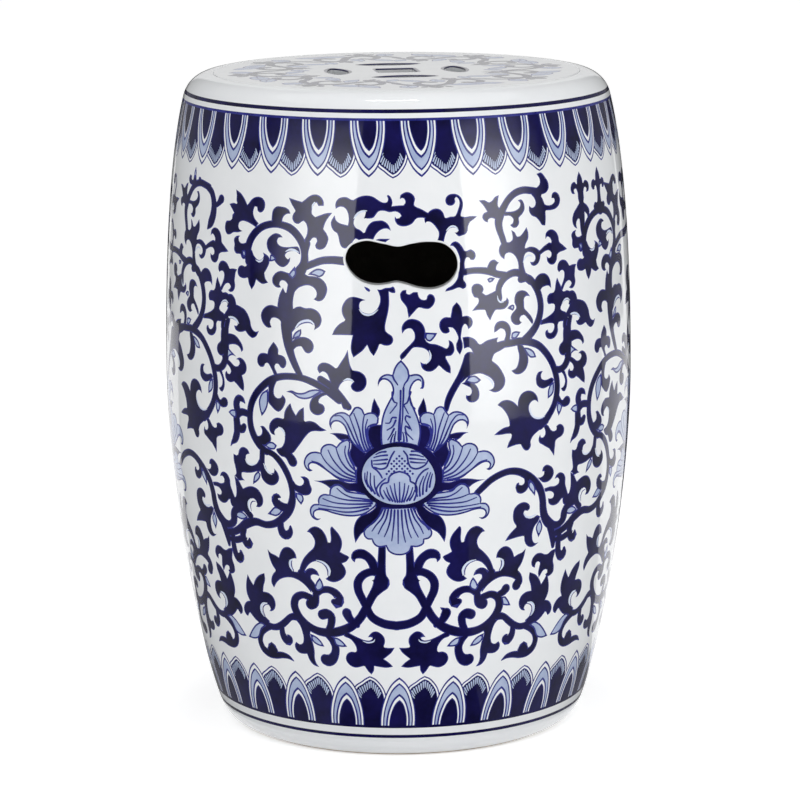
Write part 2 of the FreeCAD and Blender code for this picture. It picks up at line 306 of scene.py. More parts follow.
# %% The lyre at the foot of the scroll
ROOT_SCROLL = """
# U of the lyre, loop, stem, knot
brush -17,139.5,6.5 -22,138.6,5.8 -27,136,6 -30.4,130.8,6.4 -30.2,125.3,6.3 -27.7,119.5,6 -25,114,6
  -21.3,106.8,6.2 -13,102,6.4 -2.5,100.2,6.6
brush -12.4,158,5.2 -12.8,150,5.7 -13.2,143,6.2 -13.8,136,8.5 -13.6,131.5,12.6 -16,127.5,9
  -19,123.5,6.6 -22.3,118,6.2 -25.5,112,6.4 -29.5,105.7,6.4 -36,99.6,6.6 -45,95.3,7 -57,93.3,6.6
  -66,94.8,6 -73,98.6,6 -79,105,6.4 -81,111,6.6 -79.2,116.3,6 -73.5,119.3,5.4 -67,117.8,5.4
brush -18,139,6.5 -19.3,144.8,6.8 -22.8,149.5,6.5 -27.5,151.6,7 -31.4,150.4,6 -32.9,148,3.6
  -32.2,145.6,.6
# Ball of the S curve and stems at its end
brush -67.3,113.2,8.2 -65.2,114.2,8.4 -62.8,119,5.8 -62.4,124,5
brush -61.6,121.5,5 -58.3,123.8,5 -52,124.6,5.3 -46.6,121.7,6.5 -44.8,117.3,7.6 -47.3,115,7.4
  -49,116.2,4.6
# Hook over the band
brush -55,94,5.5 -52.2,100,6 -52,105.6,6.6 -55.2,107.2,7.4 -58.7,106.2,7.4
# Hook under the band, its small leaf and the leaf at the comma
brush -57,91.5,3 -52.8,88.4,5.2 -50.2,83.5,6.2 -51,78,6.8 -54.2,73.8,8.4 -57.8,72.9,8.8
  -59.2,73.3,8.2
leaf -40.8,84! -44.5,88 -48.5,90.2 -51.5,90.3! -49.5,84.6 -45,83.6
leaf -59,82.8! -62,87.3 -65.5,90 -70,91.5! -68.5,86 -64,83.3
# Comma under the junction
fill -82,101! -78.5,97.5 -76.4,91.5 -76,87 -77.3,83.6 -80,82.6 -82.7,84.2! -84.3,82 -84,78.8
  -81.5,76.4 -77.8,75.8 -74.4,76.2! -73,72 -70,68.6 -67,67.5 -65,67.4! -66.9,69.4 -68,73 -67.6,79 -68.4,85
  -70,91.5 -68,96 -75,101
# Band to the corner trefoil
brush -79.5,103,6.5 -85,102,5 -90,98.2,5.2 -95,94.7,5.3 -100,92.8,5 -106,93,5.3 -112,95.4,6.4
  -118,99.5,8 -121,103,9
brush -94.3,93.5,4.6 -94.2,88.5,5.6 -92.5,85.3,6.6 -89.8,84.4,8 -89.3,85,7.6
brush -103.5,92.8,4 -110.5,90.2,5.2 -115.5,86,5.2 -117.6,80.5,5.4 -116,75.3,5.8 -111.5,72.4,6
  -104,71.6,5.4 -97,72.6,4.9 -91.3,71.9,3.4 -87.2,69.5,.9
brush -108.5,75,6 -106.4,76.4,9.4 -104.4,74.8,7
leaf -109,92.5! -114,94.4 -119.5,92.2 -124,88.4 -130.3,81.2! -123.5,80.8 -119,82.3 -114,89.5
# Corner trefoil
fill -113.5,94.5! -118,98 -121,100 -124,100.2 -126,98.5 -127.2,96.8! -129,97.5 -130.8,101 -129,105.3
  -126,107.8 -122.7,108.7! -124.8,113 -125,118 -123.6,123.5 -121.7,128! -119.7,124.5 -117,121! -115,124.5
  -111,128.6 -105,131.3! -104.8,127 -107,121.5 -108,117.6! -103,117.3 -98.8,114.5 -97.6,109.5 -99.3,105.8
  -102.3,104 -104.3,103.9! -102.8,105.6 -104,108 -106.5,109.2 -109.5,108.3 -111.2,105.5 -110.8,102
  -108.2,98.8 -105,96.6! -108,92
brush sheen -105.5,109.5,.5 -109.4,108.9,1.2 -112,106,1.6 -112,102.3,1.5 -110,99.2,.5
brush -104.8,108.7,.4 -108.2,107.7,.8 -110.2,105.3,.9 -110,102,.8 -108.8,99.8,.3
# Ball beside the U
brush -39.6,108.6,7.4 -38.7,106.3,6.8 -35.5,102.3,5.6 -32,100,4
# Bottom trefoil
fill -42,96! -36.5,93.2 -31,90.8 -26.5,89.4 -22.5,89.6 -21,91.2 -22.2,91.8 -24.6,91.6! -22.8,94
  -20.5,95.7 -18,96.1 -14.8,94.6 -12.1,91.3 -11.8,88.3 -13.2,84.6! -9,84.1 -4.6,84.3! -6.8,80.9 -9.8,78.3
  -13,75.9! -9.5,73.6 -6,70.3! -11,69.4 -16,69.9 -20.6,70.6! -20.9,67.3 -23,64.2! -25.6,66.7 -28.2,70.6!
  -31,69.7 -35.5,68.9 -40.2,70.8 -42.6,75 -41,79 -37.3,80.6 -34,80.1! -33.7,83 -35,86.3 -38,89.7 -43,92
brush sheen -28.5,88.8,.3 -25.5,87.8,1 -22.3,88,1 -20,89,.9 -19.4,90.2,.3
# Big leaf beside the flower stem
brush -62,122,5.4 -65,125.8,6 -69,130.3,7 -73,135,6
fill -75.5,133.5! -73.6,139.5 -70.5,145.4 -66,150.4 -62,154.2 -60.8,158.5 -62.2,162 -64.4,164.4
  -66.5,164.8! -64,167.5 -60,169.2 -56,168 -53,164.6 -51.4,160.5 -50.9,157.3! -49.3,158.6 -48.7,162
  -48.9,166 -48.4,169.4 -47.4,170! -45.5,168 -42.5,164.4 -40.8,160.3 -40.9,156.5 -42.4,152.3! -40,151
  -36.6,149.4 -35.9,148.7! -38,145.8 -41.4,144.1! -39.4,141.2 -38.7,137.8 -40.6,134.2 -44,131.6
  -48.5,130.3 -52,131 -54.4,132.4! -52.3,134 -51.6,137.5 -52.6,140.6 -55.6,143.5 -60,144.5 -64,143.4
  -67.7,140.2 -70,136.6 -71.2,133.2! -73,131
brush sheen -60.5,145.2,.4 -56,144.3,1.3 -52.3,141.6,1.6 -50.8,138,1.5 -51.3,134.8,.6
brush -60,144.5,.4 -56,143.4,.9 -53.3,140.7,.9 -52.3,137.7,.9 -52.5,135,.6
brush -64.5,126.5,5 -68.3,131.5,5.6 -67.6,135.3,5.4 -64.2,137,4.8 -61.4,136.2,3.4 -59.3,134.3,.7
leaf -58.8,133! -61.6,129.5 -63.2,125.8! -61.8,123.5 -57.2,125 -56.2,127.3! -57,130.3
# Leaf over the long white arch
fill -99.9,149! -97.3,146.7 -93.5,145.6 -90.6,144.2! -89,148 -86,151.6 -82.3,152.7 -78.7,151.3
  -76.3,148 -75.9,145! -78.6,144.8 -80.5,142 -80.2,138.2 -78.5,135.4! -76,135.4 -70,132 -66.5,124!
  -66,121! -67.5,123 -71,126.6 -76,129.6 -81,130.9 -86,130.4 -91,128.6 -94.5,125.8 -97.3,121.8! -99.2,125
  -98.6,129 -96.3,132.5 -94,134.4! -96.7,137.8 -98.8,142.8
brush sheen -78.7,144.6,.4 -81.2,142.8,1.5 -81.6,139,1.6 -79.7,135.8,.6
brush -79.4,144.3,.4 -80.4,141.3,.8 -80,138,.8 -78.9,136.3,.4
"""
print(len(marks(ROOT_SCROLL)), "marks")

# %% [markdown]
# ## The scroll left of the flower
# The stem curls up in an S and throws off pairs of leaves. They are outlined with a fine
# brush and filled with watered-down cobalt, which is what makes them pale.

# %% The scroll left of the flower
LEFT_SCROLL = """
# Stem from the tile's edge, with three balls and two small leaves
brush -136,156,6 -130,157.5,5.5 -124,160.5,6 -117,165,7 -108,167.5,5.8 -99,166.5,5.2 -91,168.5,5.5
  -84.5,173,6 -79.5,178.5,6.5 -76.8,184,6 -75.8,190,5 -76.8,198,4.8 -80,206,5 -84.5,212.5,5 -90,217,4.5
  -97,219,5
brush -121,161,7 -122,156,6 -120.5,152,6.5 -118,150.5,8 -115.5,152,6 -115.7,154,2.5
brush -87,170,5.5 -86.8,165,6 -85,161.5,7 -82,161.2,6.5 -79.3,164,4.5 -79,167.5,1.8
brush -132.5,156,5 -132.8,147,5.5 -131.5,141,6 -128.5,138,6.5 -125.8,140,6 -126,143.5,3
leaf -97.3,174.3! -94,177.5 -91,180 -88,180 -84.5,178! -87,175 -90,173.5 -94,173.8
leaf -129,169.8! -126,172 -122,173 -118.5,172 -115.5,169.5! -118,168 -121,167.2 -124.5,167.5
# Broad leaf above the stem
fill -125.5,197.3! -121.5,194.8 -119.3,191.5 -117.8,189.5! -114,191.3 -109.5,192.3 -105,191.3
  -101.8,188.3 -100.2,184.5 -101,180.5 -103.8,178.2 -107,178.2! -105.8,180.5 -106.6,182.4 -109,183.8
  -112,182.3 -113.6,178.5 -112.5,174.5 -110,171.5 -112,168 -119.5,173.4 -124,175.5 -128.8,174.7 -131,176
  -131,182.3 -126,182.5 -124.7,186 -124.8,192
brush sheen -111,183.5,.4 -113.5,181,1.3 -113.8,177,1.4 -112.5,174,.5
brush -107,182,.4 -110,181.5,.8 -112,178.5,.8 -111.5,174.5,.4
# Leaf under the belly, and the small one in its fork
fill -109.7,215! -111,217.5 -114,219 -117.5,218.2 -119.5,216 -120.5,213 -122,212.2! -125,213!
  -125,208 -124,204 -123.7,199 -125.5,197.5! -123.5,196.5 -121.5,194.8 -118,195.3 -115.5,195.5! -118,197.5
  -118,200.5 -113,201.2 -108,202 -104,203.3 -101,203.5 -99,208 -101,212.5 -104,208.7 -108,207.3
  -111.5,208.3 -113.4,211! -112.8,213.8
brush sheen -113.8,210.8,.5 -112.5,208.6,1.2 -109,207.4,1.3 -105.5,208,.6
leaf -103,204! -106.5,200.5 -108.4,193.8! -105.5,195.5 -101.8,199 -101,201.5
brush -98.5,218,4.5 -99,213,4.5 -99.5,207,5
fill -101.5,208 -101,203 -100,199 -97,196 -92.5,194.8 -88,196.5 -85.7,200.5 -86.5,204 -89.5,207.2!
  -89.3,205.5 -90,203.8 -92,203.5 -95,205.5 -97.3,209
brush sheen -97.8,209.5,.6 -96.3,206,1.3 -93.5,203.5,1.5 -91.5,202.7,.6
# Curl and leaf inside the upright stem
brush -79,180,7 -84,180.5,6.5 -88.5,182.5,7 -90,186,6 -88,188,4 -85.8,187.3,1.5
fill -75,200.5 -73,197.8 -70,196.8 -67.3,198.2 -66.8,200.8 -69.3,203.2! -66,203.6 -63,201.8
  -62.2,198.5 -61,195 -62.5,191.6 -66,190.3 -70,191 -73.5,192.8 -76,194
leaf -73.3,192! -73.2,188 -69.6,183.5! -67.3,187.5 -68,190.3
# Loop round the next leaf
brush -83,219,5 -78,217.5,6 -75,214,7 -74.5,213,7
brush -95,218,5 -100,221.5,5.5 -104.5,227,5.8 -107.3,233.5,5.5 -108,240,5.2 -107.5,246,5.4
  -105.5,252,5.4 -102,257.5,5.4 -97,262.6,5.4 -91,267.2,5.4 -84,270.2,5 -75,271.4,4.8 -66,270.8,4.8
  -58,268.3,5 -51,264.8,5 -45.5,261.5,5.6 -40,257,5
fill -83,216 -87,220.6 -82.5,222.6 -80.3,226.5 -80,231 -81.8,234.6 -84.2,236! -87,234.2 -88,232
  -87.3,230.2! -90,230.8 -91.9,233.3 -92,236.5 -90,240 -86.3,242.4 -82.5,242.4 -80.2,242! -79.7,246.5
  -77.8,250.3 -75.1,253.3! -73.5,249 -71.1,245.3! -68.5,249 -65.2,251.2! -65,246 -65.1,241.2! -61,242.2
  -57,241.3 -53.5,238.6 -49,236.4! -53,235.5 -57,235.5 -60.5,234.7 -64,231.5 -68,226.3 -73,220! -77,217
brush sheen -84.5,236.2,.4 -82.2,235.2,1.3 -80.2,232.5,1.2 -79.8,230.5,.3
fill -99.5,235.2! -97,235.7 -94,233.3 -91.2,230 -90.6,227 -92,224.5 -96,222 -101,223 -103.5,228.6
  -101,228.3 -98.8,229.5 -98,231.8 -98.6,234.2
leaf -96.5,222! -93,225 -89.5,225.3 -86.3,223.3! -88,220.5 -91,220
# Hook outside the loop
brush -109,242.5,5 -116,243,5.5 -120,240,6 -120,234,6.5 -120.5,228,6 -122.5,223.5,5.5 -126,220,2
  -127.2,218,.5
brush -119,232,6 -115,231.5,6 -113.5,233.5,4.5
brush -119,243,6 -120,249,6 -117.5,252.5,5 -114,251.5,3.5 -112.2,249.5,.8
leaf -128,241.5! -125.5,243.5 -121,243.8 -121,238.5 -124.5,239
# Leaves on the loop's top
fill -84.5,272! -86.2,275 -87,277.3 -86,279 -83.8,279 -82.5,277.3 -80.5,276.3 -78.5,277.8 -77.8,281
  -79,283.8 -81.5,285.2 -84.2,285.4! -84,289 -85.5,291.5 -87.8,293.8! -90,291 -92,288 -92.6,285.3!
  -95.5,285.6 -99,284.6 -101,281.5 -100.7,278 -98.5,275.9 -95.8,276.2 -94.3,279! -92.5,279 -90,276
  -87.5,271.5! -86,270
fill -93,266 -92,262 -92.5,257 -92.3,252.5 -89.8,249.8 -86.5,247.2 -84.3,246.5 -81.5,248.5 -79.3,252
  -78.6,255.5 -80.9,258.5! -82.3,256.4 -85,255.8 -87.3,257.5 -87.7,261 -86.7,264.5 -85,268
leaf -92.3,261.5! -98,257.5 -100,253 -99.5,247 -97.9,242.2! -95,245.5 -92.8,250 -92.2,256
leaf -78.2,260.8! -74,262 -70,260.8 -65.5,261 -60.5,263.2 -56,264 -51,262.8! -55,260.5 -59.5,257.8
  -64.5,256.6 -69.5,257.3 -74,260
fill -50,262.5 -55,260.5 -59.3,257.5 -61,253.5 -60.5,249.3 -57.5,246.7 -54,246.5 -51,248.3 -50,251.3
  -51.5,253.9 -54,254.7! -54.5,255.8 -53,258.4 -49.5,260.2 -46,260.8
# Leaf beside the lotus
fill -32.5,251.5! -36.8,256.5 -39.8,260.5 -40.5,264.5 -38.8,268.3 -35.8,270.6 -32.5,270.8
  -30.3,269.9! -32.1,267.2 -31,264.6 -28,263.2 -24.8,263.9 -22,267 -21.3,270.8 -22.7,274.6 -26,277
  -30.8,277.8! -32.3,281 -33.3,286 -34,291.6! -35.8,287.5 -38.5,283.3 -41.8,278.2! -44.5,280.3 -48,282
  -51.3,282.2 -54.3,280.3 -55.1,277.3 -53.5,274.7! -51.5,276.2 -49,275.4 -47,272 -46.2,266.5 -49,262
  -43,260.5 -39,255.5 -37,251.3
brush sheen -37,270.6,.4 -34.5,271.8,1.2 -31.5,271.2,1.2 -30,270.2,.4
# Leaves at the tile's left edge
fill -133,294.5 -131,294.7 -125.5,295.7 -120.5,294.9 -116.3,291.8 -113.6,287.8 -113.4,285.6
  -114.9,284.2! -116.3,286.8 -119,288.4 -123,288.6 -128,287.2 -133,285
leaf -130.5,284.6! -128,285.8 -125,284 -119.8,280.6! -124,281 -127.8,279! -130,281.5
fill -134,281 -129,278.6 -124.5,276 -121,273.9 -118,274.4 -116.6,276.6 -117.8,278.5 -119.9,278.7!
  -117,280.3 -113.8,279.6 -111,276.8 -110.2,273.3 -111.4,270.3 -114.5,268.2! -113.2,264.5 -112.7,260.5
  -113.2,257.6! -116.5,259.3 -119.5,261.7 -122.1,263.3! -125,262.3 -128.3,262.9 -130.6,265.7 -130.3,268.7
  -129.1,269.8! -128,268 -126.3,267.8 -124.9,269.8 -126,272.3 -128.5,274.3 -133,277
fill -131,296 -131,301.5 -128.5,304.5 -124.5,305.9 -120.5,304.8 -118.2,302.8 -119.8,301.4
  -121.8,301.6! -120.6,299 -117.5,297.7 -114,298 -111.3,298.9! -108.5,296.2 -105,294.7 -101.7,296.4
  -99.6,300.2! -102.3,299.2 -104.8,300.4 -106.4,303 -107,306 -108.8,309.8 -112,313.3 -116,315
  -119.8,315.9! -121,319.5 -124,322.3 -127.3,322.3 -130,320.3 -131.8,318! -128.8,317.9 -127.2,315.8
  -128.3,312.3 -131,308.8 -134,305 -134,297
brush sheen -130,304.6,.4 -126.5,306.6,1.3 -122.5,306.7,1.4 -118.8,304.6,1.5 -117.5,303.3,.5
# Upright double curve left of the hand hole
brush -67.5,272.5,4.2 -70.8,278.5,5 -74,285.5,5.6 -76.2,293,7 -77.3,300,8 -77.5,305,9 -77,312,10
  -76.8,320,8 -75,327,6 -73.3,333,7 -71,338,8 -67.5,342.5,8 -65,347,6.5 -64.5,353,5.4 -66,360,5.6
  -69.5,365.3,5.6 -75.5,370.2,5.6 -83,372.3,5 -91,372.2,5 -98.5,369.8,5.2 -104.5,365.3,5.6 -108.8,359,6
  -110,352.5,6 -108.5,346.5,8
fill -73,287 -71.8,290 -69.5,291.8 -66.5,292.3! -65,290 -63.5,288.3 -61,287.8 -58.5,289.6 -57.5,292.6
  -58.8,296 -62,298.2 -66,298.7 -70,297.6 -73.5,295.4 -76,294
leaf -73.5,296! -72.2,300 -70,302.3 -66.7,303.9! -66.5,301 -67.5,298.6!
fill -80.5,300 -81,305 -83,308.8 -86.3,310.1 -89.3,309.5 -90.5,306.5 -89.2,303.4! -92,302.8 -95,304.3
  -97.5,308 -98,311.5 -96.3,315 -93,317.6 -89,318.4 -85,317.6! -80,318 -76,300
fill -74,317.5 -72.8,316.8! -70.5,318.3 -67,318.9 -63.8,318 -60,318.3 -56,317.2 -53,314.3 -51.9,310.5
  -53.3,306.5 -57.5,303.5! -56.8,306 -57.8,308.5 -60.5,310 -64.5,309.8 -68,307.8 -71,303.8 -75,300
brush sheen -71,304.5,.4 -68,307.8,1.3 -64,309.5,1.5 -60,309.6,1.4 -57.5,308,.5
brush -70,304.5,.4 -67.3,307,.8 -63.8,308.3,.9 -60,308.4,.8 -58,307.3,.4
fill -84.5,317 -84.3,321.5 -83.3,325.5 -80.5,330.8! -79,328 -78,327! -74,330 -76,317
fill -74.5,340 -78,341 -82.5,341.7 -86.5,340 -89,336.5 -88.8,333.2 -86.8,331.1 -84.5,330.3 -82,330.8!
  -83.4,332.8 -82.7,334.7 -80.8,335.6 -78.3,334.6 -76.3,331.6 -76,328 -72,328 -72,337
fill -72,328 -69,331 -65,332.8 -61,333.3 -57.5,331.8 -55.6,329 -56,325.8 -57.8,324.2! -54.5,323
  -51.5,323.8 -49,327.3 -48,331.3 -49.3,335.3 -52.6,338.3 -57,339.5 -62,339.7 -66,341.5 -71,338
leaf -76.8,339.5! -74.8,342 -71.7,345.5! -70.6,342.3 -70.8,339.5 -73.5,336.8!
leaf -62,340.3! -59,343 -55.5,344.7 -52.5,344.7 -49.2,343.3! -51,340.3 -53.5,339 -57.5,340
brush -64,345.5,5 -58,348,5 -52,350.1,5.2 -45,350.8,5.4 -36,350.3,5.8
# Leaves in the top of the double curve
fill -69.5,358.5 -73,358.4 -78,357.8 -82,358 -84.8,359.3 -85.8,361.3 -84.6,363.6 -81.3,364!
  -83.5,365.8 -87,366.5 -91,364.6 -93.7,361.5 -94,357.5 -92.3,354 -90,352! -88.5,349.5 -86,346.5 -83,344.6
  -80.5,344.3 -77.5,346 -75.6,348.6 -75.3,351.2! -76.8,349.8 -78.7,350.3 -79.3,352.3 -77.8,354.3 -75,355.3
  -71,355.2 -68,353.5
brush sheen -79,354.8,.4 -76,356.2,1.3 -72,356.1,1.5 -69,354.8,.6
leaf -88,351.6! -90.5,352.2 -91.6,347.3! -88.5,347.8 -86.3,349.3
fill -112,352 -110.8,347.5 -110.7,343.5 -112,341.9! -115,342.9 -117.8,341.8 -119.2,338.8 -118.3,335.8
  -115.5,334.4 -112,334.4 -109.6,335.3! -108.8,331.5 -106.2,327.3! -103.5,331 -102.3,334.5! -100,333
  -97.5,331.9 -92.3,333.1! -94.5,335.5 -95.6,339.3! -93.5,342.5 -91.6,346.5 -91.8,350 -94.3,351.8
  -97.3,353! -96.3,351 -97.3,349 -100,347.6 -102.8,348.6 -105,350.8 -107,354
brush sheen -103,347.5,.4 -100.5,346.6,1.2 -98,347.4,1.2 -96.7,349,.4
fill -109,360 -113,358 -116.3,357.5 -118.7,359 -119,361 -117.8,362.5! -121,362 -123.5,359.8
  -122.8,356.3 -123,352.5 -121,350.2 -118.5,350.2 -116.8,350.2! -116,348.3 -114.5,347.1 -112,347.6
  -110,349 -108,354
leaf -115.8,352.5! -113,353.3 -111.9,351.5 -112.3,349.2 -114.5,348.3!
# Leaves under the upper band
fill -61.5,361.5 -60,363.5 -58.5,365 -56.3,364.9 -55.6,362.8 -57,360 -56.3,358.2 -53.5,357.3
  -50.3,358.5 -48.3,361.5 -47.5,365 -49,368.3 -51.3,371! -50,375 -48,378.3 -45,381.9! -49,381.6 -53,380.3
  -57.2,378.7! -59.6,380.5 -59.7,384 -58.3,387 -56.5,388.3 -55,386 -53.8,386.2! -51.3,386.2! -51.2,388.5
  -52.8,391.5 -55.5,393.3 -59,393.4 -62.5,391.9 -65.5,389.5 -67.3,388.2! -71.5,389.1 -77.6,390.5!
  -75.8,387.3 -72,382! -73.8,379.8 -74.3,376.7 -72.5,374.2 -69.5,373.6 -67.3,375.2 -65.8,375.8 -63.8,374
  -62.8,370.5 -63.3,366.5 -65.5,362.5! -64,358
brush -64.5,350,5.2 -64.3,356,5.2 -62.8,361,5
brush sheen -59.6,384,.4 -59.4,386.5,1 -57.8,388.3,.9
# Big leaf between the hand hole and the lotus
fill -14,332! -12,331.8 -8.5,333 -5,333.3 -3.3,334 -2,332 -2,329.6 -4,329.6 -6.2,330.6! -6,327 -6,322
  -6.8,316.5 -8,311.5 -8.8,307 -8.4,304.3 -6.8,302.8 -4.3,301 -3.4,298.2 -4.8,295.4 -8,294.5 -11.3,295.4
  -12.5,296.2! -14,292 -16.5,287.6! -18.6,290 -20.8,295! -24,291 -27.5,288.3 -30.2,286.3! -31.8,291
  -31.6,296.5 -30.5,301.2! -36,301.2 -44.7,301! -42.8,305 -39.5,308.6 -35.3,311! -37.7,315.5 -37.8,319.8
  -36,323.6 -33,326.3 -29.5,326.9 -25.5,326 -21.8,324.8! -25,323.8 -26,321.5 -25.5,318.6 -22.5,316.3
  -18.5,315.9 -14.8,318.2 -12.4,322.4 -12,326.5 -13,330
brush sheen -26,318.5,.5 -23.8,316,1.2 -20,314.9,1.3 -16.5,316,1 -13.5,318.5,.4
fill -22.8,333.8! -20.3,333 -18.6,331.3 -19.3,330.2! -21.5,331.6
"""
print(len(marks(LEFT_SCROLL)), "marks")

# %% [markdown]
# ## The leaves where two repeats meet
# The pattern goes four times round the drum. Where two repeats meet, a few leaves reach
# across, so they are drawn apart and belong to both.

# %% The leaves where two repeats meet
EDGE_SCROLL = """
brush 74,118.5,5 77.5,120,6 79.3,122,7
leaf 76.8,116.5 79.5,116.5! 82.5,113 84.5,109.3! 81,109.6 77.6,110.5!
brush 32.5,107,6.5 33.3,109.3,5 31,111.4,2.6 29.2,112.6,.6
brush 90,127,6 88.3,123.5,7.6
# Stems that cross the tile's edge
brush 114.5,270.5,5.5 119,270.3,5 123.5,272.5,5.6 126.5,277.5,6 127.3,284,6 127.3,292,5.8 127.5,299,5
  129,305,5
fill 125,280.3 122.3,279.3 119.2,280.6 117.7,283.8 119,287.3 121.6,289.2 121.9,293.5 122.3,297.3
  124,299.8 128,300 128,290 127,283
fill 117.5,270 120.3,268 122.6,264.8 123.4,261.3 122.2,258.3 119.6,257! 121,255.2 123.4,254.8
  124.6,256.4 125.7,260 125.2,264.3 123.4,268.3 121.5,271.5
"""
print(len(marks(EDGE_SCROLL)), "marks")

# %% [markdown]
# ## The scroll right of the flower
# The right half isn't a mirror image of the left: the painter let the stem run on into the
# next repeat. So it has marks of its own.

